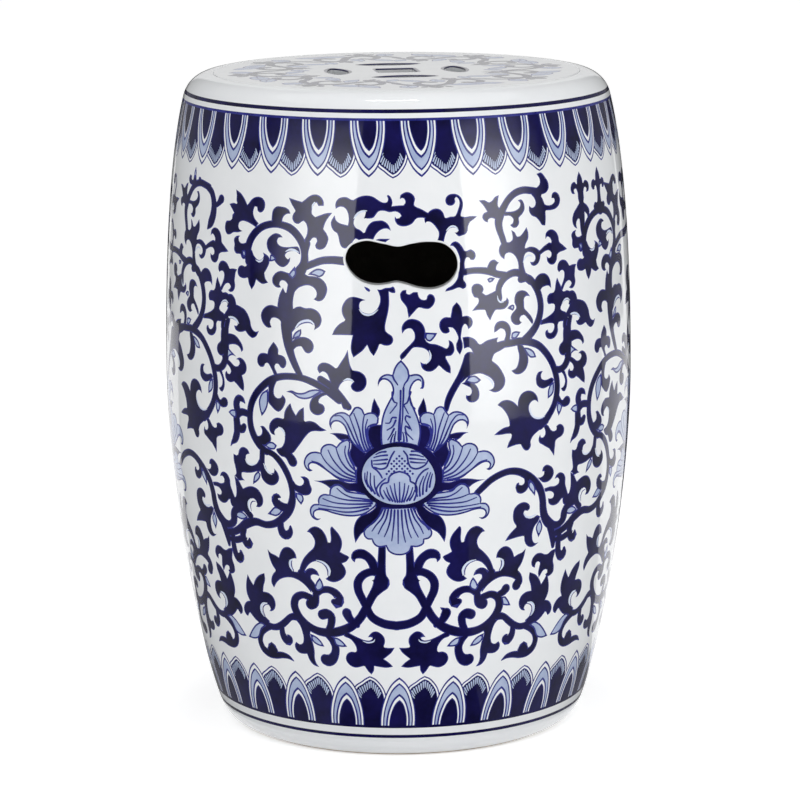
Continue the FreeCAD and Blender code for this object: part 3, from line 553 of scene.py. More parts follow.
# %% The scroll right of the flower
RIGHT_SCROLL = """
# Stem from the left field to the lotus
F brush 180,222,5 255,268,5 320,335,5 380,412,4.6
# Stem over the lotus and its leaf
R fill 60,820! 58,785 70,760 95,743 125,742 155,755 178,785 185,820 182,853 200,872 240,880 270,893
  300,905 310,885 308,860! 326,870 338,895 338,925 320,945 292,947 302,975 316,1000 318,1040! 295,1030
  270,1010 255,995 240,1010 215,1025 185,1023 163,1005 155,972! 175,983 195,975 205,948 199,920 180,903
  150,895 120,895 95,920 75,945 55,962! 46,945 75,905 105,875 125,850 124,815 105,792 80,797
R leaf 185,815! 215,818 247,820! 232,845 205,866 190,860 180,840
R brush sheen 203,912,.4 211,940,1.1 203,966,1.1 185,985,.3
# Small leaf under the hand hole
R fill 50,610! 62,590 85,587! 85,605 100,612 120,600 145,600! 150,625 165,640 190,640 195,622! 205,612
  225,615 238,640 228,670 205,690 175,688 150,682 130,700 95,738! 90,705 85,680 70,660 55,640
# Leaf right of it
R fill 355,660! 375,685 384,712 386,738! 410,735 432,745 443,768 437,792 418,808! 412,790 400,778 387,790
  380,820 376,850 385,880 385,905 370,942! 352,915 350,880 362,855 352,825 330,795 308,792! 315,815
  300,825 280,822 262,800 258,775 268,750 290,738 320,740! 325,715 332,685
# Broad double leaf over the lotus, with the stem that carries it
R fill 385,850! 420,848 455,865 480,893 520,875 588,862! 580,885 600,900 660,900 600,935 565,950 548,985!
  580,1010 610,1050 628,1095 620,1130 595,1152 570,1158 530,1143! 555,1135 562,1110 548,1085 515,1062
  480,1050 440,1055 405,1070 375,1095! 385,1060 400,1010 425,980 440,950 435,920 420,905 392,910!
R brush 292,1235,3.4 300,1195,4.4 318,1150,4.8 345,1105,4.8 375,1055,5.2 400,1010,6.5 425,965,9
R fill 378,1098! 410,1086 440,1095 465,1120 477,1155 470,1187 445,1203 420,1200 402,1180 402,1162!
  420,1165 433,1150 428,1125 408,1112
R leaf 395,1088! 415,1065 450,1058 487,1085! 465,1101 430,1100
R brush sheen 500,1063,.4 530,1080,1.2 550,1102,1.2 557,1125,.4
# Loop right of the lotus
R brush 560,918,5 600,905,5 660,900,5.2 720,895,5.4 780,905,5.4 840,930,5.2 890,975,5.2 930,1030,5.2
  955,1090,5.2 968,1150,5.2 965,1210,5.2 947,1265,5.2 915,1312,5.4 880,1348,6 850,1370,6
R fill 580,1228! 605,1210 635,1205 665,1213 690,1230 702,1245! 708,1210 725,1182 755,1168 785,1170
  812,1185 830,1210 836,1240! 815,1225 795,1228 778,1245 775,1275 790,1305 820,1325 860,1330 900,1318
  920,1310! 905,1362 870,1380 830,1402 800,1425 788,1447! 790,1475 775,1495 755,1495 735,1475 725,1457!
  700,1457 670,1462 640,1470! 650,1440 665,1415 668,1392! 630,1390 600,1393 562,1390! 590,1370 620,1355
  655,1350! 648,1310 630,1275 605,1245
R brush sheen 781,1262,.4 786,1290,1.2 806,1315,1.3 840,1327,1.2 880,1322,.4
R fill 870,1372! 895,1368 910,1380 925,1400 950,1412 970,1403 965,1387! 985,1378 1010,1385 1025,1405
  1022,1430 1005,1448 980,1455 965,1465 960,1495 955,1550! 935,1525 915,1502! 895,1492 870,1477 845,1460
  842,1440 852,1418! 858,1435 872,1437 886,1420 885,1400
R brush 970,1232,5 985,1250,4 1000,1262,4 1020,1266,6 1042,1258,7
R leaf 975,1252! 965,1285 980,1332! 1000,1303 1006,1277 992,1262
R leaf 945,1140! 920,1150 905,1175 900,1227! 925,1215 940,1200 946,1170
R fill 820,1112! 825,1090 840,1073 867,1072! 855,1090 858,1110 875,1122 900,1122 932,1115 945,1130
  925,1152 900,1162 870,1168 845,1160 825,1140
R fill 700,900! 705,935 713,970 708,1010 695,1037 665,1050! 690,1070 720,1072 750,1055 770,1020 770,980
  757,950 738,920
R leaf 740,932! 760,965 785,990 824,992! 810,960 782,940 757,932
R leaf 665,875! 672,845 690,838 724,845! 705,870 690,880
R fill 565,835! 568,800 585,780 612,775 640,785 660,810 666,840 660,875 670,905 620,908 624,880 633,850
  625,825 603,816 582,828
# Loop right of the hand hole, with the leaf inside it
E brush -12,625,5.2 40,622,5.2 85,665,5.2 118,730,5.2 130,790,5.2 122,850,5.4 95,910,5.6 50,960,6 5,995,6
R brush 597,655,5 597,600,4.6 620,560,5 655,535,5.2 700,525,5.2 750,545,5.2 795,580,5.2
R fill 440,612! 440,585 455,570 478,568 500,580 508,600 500,618! 520,632 545,625 580,610 600,590 590,625
  592,655 612,672 640,665 643,652! 655,670 650,695 630,712 600,715 575,715 560,735 542,770! 525,740
  515,710! 480,708 440,712! 460,690 478,665 475,645 455,640
R brush sheen 588,640,.3 592,662,1 606,676,1.1 625,675,.4
R fill 690,685! 692,655 705,632 735,622 765,630 790,660! 770,655 752,665 750,690 752,720 775,745 800,775
  808,800 800,812! 790,800 770,775 745,755 730,760 720,775 722,790 735,793! 715,806 690,803 670,785
  666,755 680,735 700,715
R leaf 645,712! 665,697 688,697 690,712 680,728!
# Branch to the left of that loop, with its leaf and the leaves beside the hand hole
R brush 388,505,4.6 440,498,4.4 500,500,4.6 545,508,5 590,525,5 640,535,5
R fill 525,500! 535,475 552,452 575,446 590,458 602,464! 588,478 583,495 590,512 560,525
R leaf 530,548! 545,540 575,545! 562,562 540,566
R fill 322,362! 335,345 355,338 375,348 392,368! 408,392 440,384 462,400 467,420 455,441 436,438! 430,424
  415,425 405,445 405,500 395,545 410,565 408,583 390,592! 372,583 335,594 292,602! 300,588 332,570
  358,540 368,500 362,462! 374,455 375,425 365,395 352,372 340,362
# Leaves over the hand hole
T fill 105,300! 98,270 105,235 130,205 170,190 215,192 250,212 275,215! 320,190 370,175 420,172 470,185
  520,215 560,235 600,232 610,205 605,185! 598,175 610,165 630,178 645,205 652,240 645,270! 690,265
  730,262 760,260 775,240 770,210 745,195 724,206! 730,170 760,148 790,140 850,165 870,200 860,260 930,300
  1000,340! 1000,390 940,380 880,385 840,430 790,452 740,455 695,435 675,400 675,362! 690,382 715,380
  735,360 720,335 680,318 620,325 580,312 520,318 495,345 470,375 430,383 373,378! 400,370 408,345 395,322
  360,318 320,345 290,385 282,430 300,468 345,490 385,525! 400,480 425,440 460,412 510,402 560,402 600,425
  625,460 636,495! 610,478 580,475 545,485 515,505 490,535 468,580! 400,578 330,582! 300,568 270,605
  235,645 200,662 165,650 145,610 135,560 120,525 90,505 65,470 58,425 75,385 95,358! 105,400 135,425
  180,440 225,450! 232,400 225,340 205,300 175,280 135,282
T brush sheen 283,385,.4 300,360,1.3 335,328,1.4 375,315,1.2 408,312,.5
T fill 478,585! 520,570 570,568 628,568! 600,588 575,606 530,600
R fill 190,238! 186,215 205,185 225,168 250,162 275,168 292,188 300,212 330,207 358,204 366,190 377,165
  384,140 380,118 366,106 355,112! 360,130 350,145 330,150 312,143 304,122 310,103 325,92 345,88 372,92
  392,108 403,135 400,165 390,190 388,207! 412,212 445,209 482,212! 460,228 440,240 428,262 425,285
  412,302 394,308! 375,313 360,301 352,291! 366,292 373,282 364,271 345,264 322,270 306,290 296,315
  290,342! 252,335! 262,310 263,285 250,262 235,245 215,230 200,229
R brush sheen 306,280,.4 323,263,1 345,257,1.1 364,267,1 373,284,.3
# Loop under the upper band and its leaves
R brush 640,378,4.6 628,335,4.6 612,290,5.2 608,250,6 620,212,6.5 642,178,5.4 675,135,5 720,105,5 775,93,5
  830,100,5 870,108,5
R fill 495,130! 530,130 558,143 575,134! 590,118 618,108! 610,140 608,165 625,185 640,200 628,240 605,262!
  590,236 565,226 545,235 545,248! 525,240 512,220 520,200 542,190! 530,170 515,150
R fill 637,195! 680,200 720,195 745,180 750,160 735,144! 757,140 774,165 775,195 757,220 736,235 736,265
  720,285 697,286 678,270! 695,262 700,240 682,222 642,216
# Leaf that stands on the right loop
R fill 635,450! 612,430 603,400 613,372 640,355 668,362 688,350 690,322 684,298! 705,310 720,335 735,335
  755,320 782,290! 793,320 790,350 772,380 766,400 800,395 840,405 868,430 866,462 850,490 825,500 805,493
  797,475! 818,478 832,465 830,445 815,430 785,422 766,430 756,455 755,490 768,535! 740,550 718,530
  722,495 710,450 690,425 662,415 640,425
R brush sheen 752,475,.4 765,452,1.1 788,440,1.2 812,447,.4
R brush 845,440,4 870,430,3 900,414,3.6 935,405,5
R fill 908,365! 912,335 935,318 965,318 990,335 1005,360 1010,388 1035,408 1068,434! 1040,440 1010,445
  990,455 985,480 965,503 935,503 915,485 912,457! 930,468 945,458 945,438 925,425 905,422 910,405 940,400
  950,380 940,360 922,352
R fill 818,585! 835,560 862,545 890,545 915,560 932,590 936,632! 918,615 895,615 870,622 850,650 838,640
  830,610
# Upright leaf at the tile's right edge, and the one above it
E fill 268,642! 280,665 295,690 305,718 320,733 345,727 372,735 392,755 398,785 390,810 372,822 358,814!
  366,798 352,786 325,790 300,810 290,835 300,845 330,858 350,880 363,905! 340,910 305,912 270,915 262,930
  265,960 255,985 230,1005 200,1010 172,998 160,975 165,955 180,948! 185,965 200,972 220,965 232,945
  230,920 205,912 165,912 125,915! 130,892 170,875 215,855 235,840 238,800 215,795 190,795 180,770 185,745
  205,730 235,728 245,715 250,690 258,660
E brush sheen 305,800,.3 325,783,1 350,778,1.1 372,792,.4
E fill 285,612! 273,595 275,568 292,546 320,538 348,546 370,568 378,583! 400,578 422,577 445,580! 432,600
  428,625 425,650 430,675 425,700 408,718 385,722 368,712! 382,705 392,690 386,674 368,670 345,678 328,697
  312,722! 292,715 305,690 322,660 330,630 326,608 308,600
# Big loop right under the lotus
L brush 95,140,4.6 140,100,5 190,60,5 250,30,5 330,10,5 400,18,5.4 470,50,6 540,105,6.4 595,170,6
  620,240,6 630,310,6.4 650,370,7 690,415,7.4 740,442,6.5 790,440,5.5 830,410,6.5 840,360,7 870,320,6.5
  930,300,6
L brush 700,420,7 725,480,6.5 745,540,6 750,590,3.5
L brush 760,545,4 830,545,5 900,525,5
L fill 385,130! 395,100 412,95! 415,112 435,118 455,105 450,70 430,40 470,45 490,90 495,130 470,165
  430,177 400,165
L leaf 497,82! 530,110 552,150 550,207! 520,175 492,140
L fill 565,80! 595,82 620,65 622,45 602,42! 610,15 640,0 670,10 700,35 710,65 695,100 660,122 620,122
L fill 630,165! 680,158 730,160 762,145 765,125 745,105 720,113! 735,85 765,72 800,82 825,115 828,160
  845,200 875,262! 840,265 800,262 775,285 740,298 700,292 675,272 670,240! 690,245 715,240 722,220
  705,200 670,190 640,190
L fill 495,305! 512,290 510,268 490,248 455,238 415,248 385,275 375,320 385,370 412,405! 380,430 345,465
  322,500! 360,492 420,482 478,478! 485,520 505,550 545,568 580,560 610,540! 580,545 560,530 550,500
  550,460 565,420 590,395 610,360! 580,345 550,358 510,360 480,345 462,320 470,300
L brush sheen 466,315,.4 480,340,1.2 515,352,1.3 550,345,1.1 570,338,.4
L leaf 608,372! 575,430 605,508! 635,440
L fill 595,722! 570,710 558,680 570,645 600,622 640,622 680,638 700,640 740,620 782,612! 775,650 765,690
  780,740 778,780 750,800 715,803 700,785! 718,775 715,755 700,748 675,755 655,780 640,800! 630,770
  635,720 638,690 620,680 600,690
"""
print(len(marks(RIGHT_SCROLL)), "marks")

# %% [markdown]
# ## Leaves of the front and the back only
# Under the upper band the front and the back end in curling leaves. The sides have upright
# buds there instead.

# %% Leaves of the front and the back only
FRONT_SCROLL = """
R fill 835,95! 870,85 890,70 893,45 873,15! 905,10 935,38 953,65 955,92 938,115 890,128! 905,150 918,180
  950,188 978,182 992,168 985,152 970,152! 975,130 1000,120 1022,132 1035,160 1027,187 1000,208 960,214
  918,212! 918,250 912,292! 890,288 872,265 850,243 822,232 805,205 808,178! 825,190 845,185 853,165
  845,140 825,115
fill -101.5,372! -105,375 -106.5,378 -106.3,381 -104.8,383.3 -103.3,382.5 -102.8,380.2 -101,379.2
  -98.5,379.9 -96.7,382.8 -96.7,386 -98.8,388.7 -102.5,389.6 -106,388.9 -109,387 -111.3,384.3
  -112.2,383.4! -115,387.3 -118.5,390.5 -123.7,392.8! -122.8,389 -122.5,385 -121.3,382.9! -124.5,383.7
  -129.6,382.7! -127.5,380.5 -124.5,377.2! -126,375.8 -126.3,373 -128.5,371.6 -131.5,371.3 -133,366
  -130.5,362.3 -127,362.6 -124.5,364 -120,364.4 -115.5,365.8! -118.3,366.5 -119.6,368.6 -118.8,371.3
  -116,372.5 -112,372.2 -107.5,370.8 -103.8,369.2!
fill -90,372.5 -90.6,378 -89.8,381.8 -87,384.2 -83,384.3 -79.5,383.8 -77,382.3 -75.9,380! -78.5,379.8
  -80.8,378.3 -82,376 -82.2,373
"""
print(len(marks(FRONT_SCROLL)), "marks")

# %% [markdown]
# ## The side petals of the lotus
# The flower is seen from the side, with three petals on each side of a ring. Fine veins
# fan out over each pale petal, and dark sepals fill the gaps. Both sides are alike.

# %% The side petals of the lotus
LOTUS_SIDES = """
# Dark ground behind the pod, up to the feet of the petals
fill 0,231 10.5,229.4 20,224.2 27,216 29.8,206 28.6,197.6 23.8,190 16,184.8 6,182.4 0,182.2! -2,206!
# Dark sepals between the petals
fill 11,225! 11.2,233 11.4,241.4! 16.2,241.2 19.5,240 21.1,237.2 20.7,231 18.1,224.9!
F fill 907,342! 921,385 931,447! 905,455 880,480 868,458! 866,430 886,385
F fill 965,740! 1010,700 1050,650 1080,615 1120,603 1175,598 1228,604! 1195,615 1168,640 1140,657!
  1110,640 1080,655 1075,690 1090,740 1075,790 1045,840 1030,850!
F fill 1030,948! 1090,955 1180,935 1250,940 1300,949 1360,953! 1300,966 1260,985 1235,1005! 1215,985
  1185,970 1150,985 1110,1015 1060,1016 1000,1030 980,1020!
F fill 845,1120! 880,1090 910,1130 960,1170 1010,1188 1045,1220 1068,1270 1072,1340 1062,1395! 1040,1360
  1010,1322 975,1300 930,1270 890,1220 860,1170
# Upper petal
F leaf 875,482! 898,452 938,443 962,449 975,457! 990,422 1020,405 1047,412 1066,440 1085,468! 1110,450
  1150,447 1195,465 1225,500 1231,540 1212,580! 1215,547 1195,521 1165,518 1130,540 1105,590 1085,640
  1055,680 1020,710 985,737! 950,717 925,692 945,640 955,590 945,550 912,535 886,530
F vein 990,725 1015,670 1040,600 1060,540 1083,478
F vein 1006,715 1050,640 1080,570 1112,510 1150,475 1190,478
F vein 972,722 997,650 1013,570 1035,500 1052,455
F vein 956,712 981,640 990,560 985,500 978,465
F vein 941,704 964,630 970,550 955,495
# Middle petal
F leaf 1078,660! 1096,641 1130,650 1160,670 1180,697! 1210,680 1250,680 1285,700 1300,727 1301,746!
  1335,740 1385,753 1420,790 1431,835 1416,870 1387,889 1362,878! 1385,868 1390,848 1375,831 1345,830
  1300,850 1240,890 1180,930 1110,950 1035,950! 1038,900 1045,850 1075,790 1090,740 1080,695
F vein 1045,868 1085,830 1110,780 1121,730 1115,690
F vein 1044,893 1100,860 1150,800 1175,740 1185,702
F vein 1048,913 1120,885 1180,830 1222,770 1243,725
F vein 1056,930 1140,905 1210,860 1270,800 1297,755
F vein 1075,941 1170,922 1250,875 1320,822 1368,812
# Lower petal
F leaf 893,1082! 950,1037 1010,1026 1070,1020 1110,1013 1140,985 1180,968 1215,980 1238,1005 1245,1047!
  1285,1045 1320,1065 1335,1098 1330,1121! 1365,1125 1395,1155 1400,1195 1380,1230 1340,1243 1316,1226!
  1345,1230 1365,1214 1363,1185 1340,1171 1290,1170 1220,1186 1140,1200 1060,1200 1000,1186 940,1152
  900,1112
F vein 935,1078 1010,1068 1090,1058 1150,1030 1185,1000
F vein 928,1089 1020,1084 1110,1082 1180,1070 1235,1052
F vein 932,1102 1030,1109 1130,1111 1220,1104 1295,1080
F vein 942,1118 1040,1134 1140,1141 1230,1137 1318,1128
F vein 960,1138 1050,1163 1140,1171 1230,1160 1330,1152
"""
print(len(marks(LOTUS_SIDES)), "marks")

# %% [markdown]
# ## The heart of the lotus
# The middle of the flower is drawn last, so that its ring and crown lie over the feet of
# the petals.

# %% The heart of the lotus
LOTUS_HEART = """
# Petal under the pod, drawn whole as right half then left half
F leaf 735,1128! 845,1122! 860,1180 900,1240 950,1280 971,1310 966,1345 942,1366 914,1370! 910,1400
  880,1420 845,1425 820,1420! 812,1450 780,1474 730,1484 680,1474 645,1448 632,1415! 600,1425 560,1418
  535,1390 528,1368! 500,1368 475,1345 468,1310 490,1275 540,1238 585,1180 605,1130!
F vein 722,1150 722,1240 722,1330 721,1395
F vein 748,1150 752,1240 762,1330 775,1385
F vein 772,1148 782,1230 800,1310 818,1355
F vein 795,1145 812,1220 842,1300 868,1350
F vein 815,1140 840,1210 885,1280 905,1325
F vein 830,1133 865,1200 915,1260 945,1300
F vein 698,1150 692,1240 682,1320 675,1375
F vein 675,1148 665,1230 643,1300 622,1345
F vein 653,1145 635,1215 600,1280 578,1325
F vein 633,1140 608,1205 560,1265 532,1305
F vein 617,1135 585,1195 535,1245 500,1280
# Tall middle leaf with its two hooks
F leaf 752,72! 785,112 806,150 808,182! 845,173 885,181 909,213 913,252 903,280 882,279! 894,262 893,234
  870,219 845,232 825,262 815,310 825,370 848,430 872,490 887,560 885,630 870,692! 735,664 610,690!
  604,630 606,560 614,490 632,430 662,370 690,310 690,270 672,232 650,215 622,213 602,232 590,265! 590,225
  605,195 635,175 670,172 690,180! 700,140 722,100
F vein 808,182 797,215 775,245 765,280
F vein 692,182 705,215 722,240 728,250
F vein 748,290 746,400 742,520 735,645
F line 742,420,.5 738,520,1.3 734,640,1.6
F vein 768,272 766,330 762,400 760,470 752,560 748,640
F vein 818,300 805,340 790,378 772,388 785,425 800,455
F vein 845,420 835,410 820,390 812,360
F vein 812,480 785,468 778,490 800,530 822,572
F vein 808,560 780,542 785,590 812,620 832,640
F vein 690,300 690,340 705,372 722,378 705,410 672,450
F vein 715,482 690,480 668,520 640,520
F vein 712,500 690,545 650,570
F vein 700,560 680,600 655,640
F vein 790,650 785,615 775,585
F vein 768,650 768,620 760,585
F vein 700,650 705,615 712,580
F vein 675,655 682,625 695,600
# Pod and its ring
fill wash 0,226.3 8.1,225.1 14.8,221.5 20.5,215.8 24.1,208.2 24.3,201.5 21,194.4 14.8,189.9 7.1,186.8
  0,186.5 -7.1,187 -14.8,190.1 -21,195.3 -24.5,201.5 -25.2,208.2 -22.4,215.8 -16.7,221.5 -9,225.1
F brush 735,675,4.4 820,688,4.6 900,728,5.2 962,790,5.8 1005,870,6.2 1012,950,6.2 985,1022,5.6 930,1070,5
  860,1105,4.6 790,1120,4.2 735,1122,4.2 665,1118,4.2 590,1095,4.2 520,1048,4.4 472,985,4.6 448,910,4.4
  460,830,4.4 508,755,4.4 580,705,4.4 655,680,4.2 735,675,4.4
F line 735,868,.9 780,882,.9 810,912,.9 812,940,.9 840,955,.9 858,990,.9 856,1030,.9 838,1078,.9
F line 735,868,.9 690,882,.9 660,912,.9 655,945,.9 620,955,.9 597,990,.9 600,1030,.9 620,1065,.9
F vein 735,1090 735,1020 735,945
F vein 750,1090 765,1020 772,955
F vein 765,1088 790,1020 800,970
F vein 785,1083 815,1030 828,985
F vein 805,1078 832,1035 842,1005
F vein 720,1090 705,1020 698,955
F vein 703,1088 680,1020 668,970
F vein 685,1083 655,1030 643,985
F vein 665,1078 635,1035 622,1005
# Petals at the pod's sides and top
F line 862,1050,.8 848,1000,.9 852,950,.9 875,900,.9 912,862,.9 938,850,.8
F vein 880,1048 878,980 905,905
F vein 900,1036 905,960 935,880
F vein 925,1015 935,945 955,880
F vein 948,985 958,930 968,890
F line 765,720,.8 790,755,.9 797,800,.9 815,838,.9 850,850,.9 895,838,.9 925,815,.8 935,795,.8
F vein 820,722 860,725 890,738
F vein 812,748 860,752 905,765
F vein 808,775 860,780 920,788
F vein 815,800 860,806 918,808
F line 590,1050,.8 570,1000,.9 600,950,.8 635,920,.8
F line 540,790,.8 545,835,.9 575,860,.9 600,890,.9 612,915,.8
F line 700,722,.8 680,755,.9 660,800,.9 640,840,.9 600,850,.9 560,838,.8
F vein 580,1040 560,980 555,900
F vein 560,1030 530,970 530,880
F vein 535,1010 505,950 508,870
F vein 512,980 490,930 490,880
F vein 640,725 600,730 570,745
F vein 650,750 600,755 555,768
F vein 650,780 600,785 550,792
F vein 640,808 590,815 552,815
F dots 735,757 716,775 754,775 697,793 735,793 773,793 679,812 716,812 754,812 792,812 697,830 735,830
  773,830 679,848 716,848 754,848 792,848 660,866 697,866 773,866 810,866 645,885 679,885 792,885 828,885
"""
print(len(marks(LOTUS_HEART)), "marks")

# %% [markdown]
# ## The stem that fills the sides
# In front and behind, a hand hole takes the place of a stretch of stem above the flower.
# On the right and left sides nothing is cut, so a stem with two leaves fills that place.
# Upright buds stand under the upper band there, two on the left and one on the right.

# %% One repeat of the whole field
SIDE_SCROLL = """
brush -40,350.8,5 -30,351.6,6 -16,355,6.4 -2,356.4,6.6 12,352,6.4 26,344.6,6 42,342.6,5
leaf -14,352! -20,347 -21,340.6 -17,335.4! -11,338 -7.4,343.6 -8,350
vein -13.4,350 -15.6,345 -16.8,338.6
vein -11.4,349.4 -12.6,344.6 -15.6,337.6
leaf 6,355! 10,361 16.5,364.6 24,364! 24.6,358 20,352.6 13,351
vein 9,355 15,358.6 22.4,362
vein 10.6,353.4 16.6,355.6 23,360.4
fill -110,401! -107,396 -106.5,392! -104,394.5 -100.5,393.5 -99,390 -100.5,386.8 -103.5,386.5!
  -102.5,389 -104.5,390 -106.5,387 -106.5,383 -107.5,380! -104,378 -101,374.5 -101.5,370 -104,367.5!
  -104,371 -107,373.5! -107.5,366 -109,359 -111.5,355! -113,362 -113.5,370! -116,369 -117.5,366
  -116.5,363! -120,365 -121.5,369.5 -119.5,374 -115.5,377.5 -112.5,380! -113.5,383 -113.5,387 -115.5,390
  -117.5,389 -116.5,386.5! -119.5,386.8 -121,390 -119.5,393.5 -116,394.5 -113.5,392! -113,396
fill -86,402! -83,396.5 -82.5,392! -80,394 -77,392.8 -76.2,389.6 -78,387 -80.5,387.3! -80.4,389.3
  -82,389.5 -83.5,386 -83.5,381 -83,377! -80,378 -78,376! -79,372.5 -82,370 -86,369 -90,370.5 -94.5,372.5
  -95,376! -92.5,378.5 -89.5,377.5! -88.5,382 -88.5,386 -90,389.5 -92,389.3 -91.5,387.3! -94,386.8
  -96,389.5 -95.2,392.5 -92,394 -89.5,392! -89,396.5
brush 101,392,5 107,388.5,5.4 110.5,381,6 110,373,7 107,367,6 104.5,364,2
brush 110,380,5 115,381.5,4 118.5,385,6.4
fill 82.5,390! 78,390.5 74,391.5 72.5,394.5 74.5,397.3 77,396.5! 77,394.5 79.5,394 80.5,397!
  82.5,403! 84.5,397! 85.5,394 88,394.5! 88,396.5 90.5,397.3 92.5,394.5 91,391.5 87,390.5
leaf 82.5,394.5! 84.3,398.5 82.5,403.5! 80.7,398.5
"""
ROOT_MIRROR = -3.0
scroll = painted(marks(ROOT_SCROLL), ROOT_MIRROR)
scroll = bled(scroll + painted(marks(LEFT_SCROLL + EDGE_SCROLL + RIGHT_SCROLL)))
lotus = bled(painted(marks(LOTUS_SIDES), 0.0) + painted(marks(LOTUS_HEART)))
only_front, only_side = (bled(painted(marks(text))) for text in (FRONT_SCROLL, SIDE_SCROLL))
print("outlines in the field:", len(scroll[1] + lotus[1] + only_front[1]))

# %% [markdown]
# ## The two bands of petals
# A band is two rows of arches, one behind the other, and a repeat holds one of each. The
# front arch is a nest of the same pointed outline at smaller and smaller sizes: dark,
# white, dark, pale blue, dark, white and a dark heart. The arch behind is broader and
# shows a fan of short pale strokes over its dark heart. The band over the foot has 24
# repeats. The one under the shoulder hangs upside down and has 28, a little narrower.

# %% Draw one repeat of a band
ARCH_FLANK = [
    (-0.1, 1.0), (0.2, 0.985), (0.42, 0.89), (0.57, 0.77), (0.73, 0.61), (0.86, 0.41),
    (0.95, 0.18), (1.0, 0.0),
]
FRONT_NEST = [
    ("line", 14.8, 36.6),
    ("white", 13.8, 35.0),
    ("line", 12.4, 32.3),
    ("wash", 11.3, 30.8),
    ("line", 9.9, 24.2),
    ("white", 8.4, 22.4),
    ("line", 7.3, 19.6),
    ("navy", 6.7, 18.6),
]
BACK_FOOT = -8
BACK_RIM = [
    (-13.2, BACK_FOOT), (-13.6, 10), (-14.2, 25), (-12.5, 29.2), (-6.8, 33.2), (-3.3, 35.6),
    (0, 37.2), (4.0, 35.6), (7.6, 32.4), (10.8, 28.0), (12.2, 24.5), (13.2, 8), (13.2, BACK_FOOT),
]
BACK_NEST = [("line", 0.0), ("white", 1.0), ("line", 2.2), ("navy", 2.8)]
FAN_GAP, FAN_WIDTH, FAN_TAPER, FAN_LENGTH, FAN_INSET = 2.2, 1.4, 0.7, 4.2, 3.9
FAN_HUB, FAN_LOWEST = (0.0, 11.0), 23.0
ARCH_LEAN = 1.7
LOWER_BASE, LOWER_REPEATS = 25.8, 24
UPPER_BASE, UPPER_REPEATS = 442.0, 28
UPPER_NARROWER, UPPER_FRONT_NARROWER = 0.87, 0.905


def arch(half, height):
    flanks = ARCH_FLANK + [(t, -w) for t, w in ARCH_FLANK[-2::-1]]
    points = [np.array([half * w + ARCH_LEAN * t, height * t]) for t, w in flanks]
    corners = [i in (0, len(ARCH_FLANK) - 1, len(points) - 1) for i in range(len(points))]
    return smooth(points, corners, True)


def back_arch():
    """The arch behind, as nested outlines and a fan of pale strokes."""
    points = [np.array(p, float) for p in BACK_RIM]
    corners = [p[1] == BACK_FOOT or p[0] == 0 for p in BACK_RIM]
    rim = smooth(points, corners, True)
    made = [(paint, rim if gap == 0 else shrunk(rim, gap)) for paint, gap in BACK_NEST]
    hub = np.array(FAN_HUB)
    path = shrunk(rim, FAN_INSET)
    path = path[path[:, 1] > FAN_LOWEST]
    path = path[np.argsort(np.arctan2(*(path - hub).T))]
    along = np.append(0, np.cumsum(np.linalg.norm(np.diff(path, axis=0), axis=1)))
    for spot in np.arange(FAN_GAP / 2, along[-1], FAN_GAP):
        outer = np.array([np.interp(spot, along, path[:, k]) for k in (0, 1)])
        way = (hub - outer) / np.linalg.norm(hub - outer)
        ends = [np.append(outer, FAN_WIDTH), np.append(outer + way * FAN_LENGTH, FAN_TAPER)]
        made.append(("wash", stroke(ends)))
    return made


def band_repeat(repeats, base, flip, narrower, front_narrower):
    """Outlines of one repeat and its neighbours' overhang, from u = 0."""
    width = AROUND / repeats
    shapes = []
    for place in (-0.5, 0.5, 1.5):
        for paint, outline in back_arch():
            shapes.append((paint, outline * [narrower, flip] + [width * place, base]))
    for place in (0, 1):
        for paint, half, height in FRONT_NEST:
            outline = arch(half * front_narrower, height)
            shapes.append((paint, outline * [1, flip] + [width * place, base]))
    return shapes


lower_band = band_repeat(LOWER_REPEATS, LOWER_BASE, 1, 1.0, 1.0)
upper_band = band_repeat(UPPER_REPEATS, UPPER_BASE, -1, UPPER_NARROWER, UPPER_FRONT_NARROWER)
print("outlines in a repeat:", len(lower_band))

# %% [markdown]
# ## From outlines to coloured faces
# Paint on a pot has crisp edges, so each outline becomes edges of the mesh itself. One
# flat chart at a time is cut into triangles along all its outlines, and each triangle
# takes the paint of the last outline that holds it, as the last stroke covers the ones
# below. A loose grid of extra points keeps the triangles small enough to follow the
# curved wall. A hole is just another outline, whose triangles are left out.

# %% Cut a chart along its outlines
# The inside paint is bare clay coloured far darker than the foot's, as painted shade inside the hollow
# drum.
PAINTS = ["white", "navy", "line", "wash", "sheen", "clay", "inside"]
HOLE = -1
MERGE_DISTANCE, THIN_TRIANGLE = 1e-4, 1e-9


def inside(outline, points):
    """True for the points that the outline winds round, however it crosses itself."""
    a, b = outline, np.roll(outline, -1, axis=0)
    x, y = points[:, 0][:, None], points[:, 1][:, None]
    side = (b[:, 0] - a[:, 0]) * (y - a[:, 1]) - (x - a[:, 0]) * (b[:, 1] - a[:, 1])
    up = (a[:, 1] <= y) & (b[:, 1] > y) & (side > 0)
    down = (a[:, 1] > y) & (b[:, 1] <= y) & (side < 0)
    return up.sum(1) != down.sum(1)


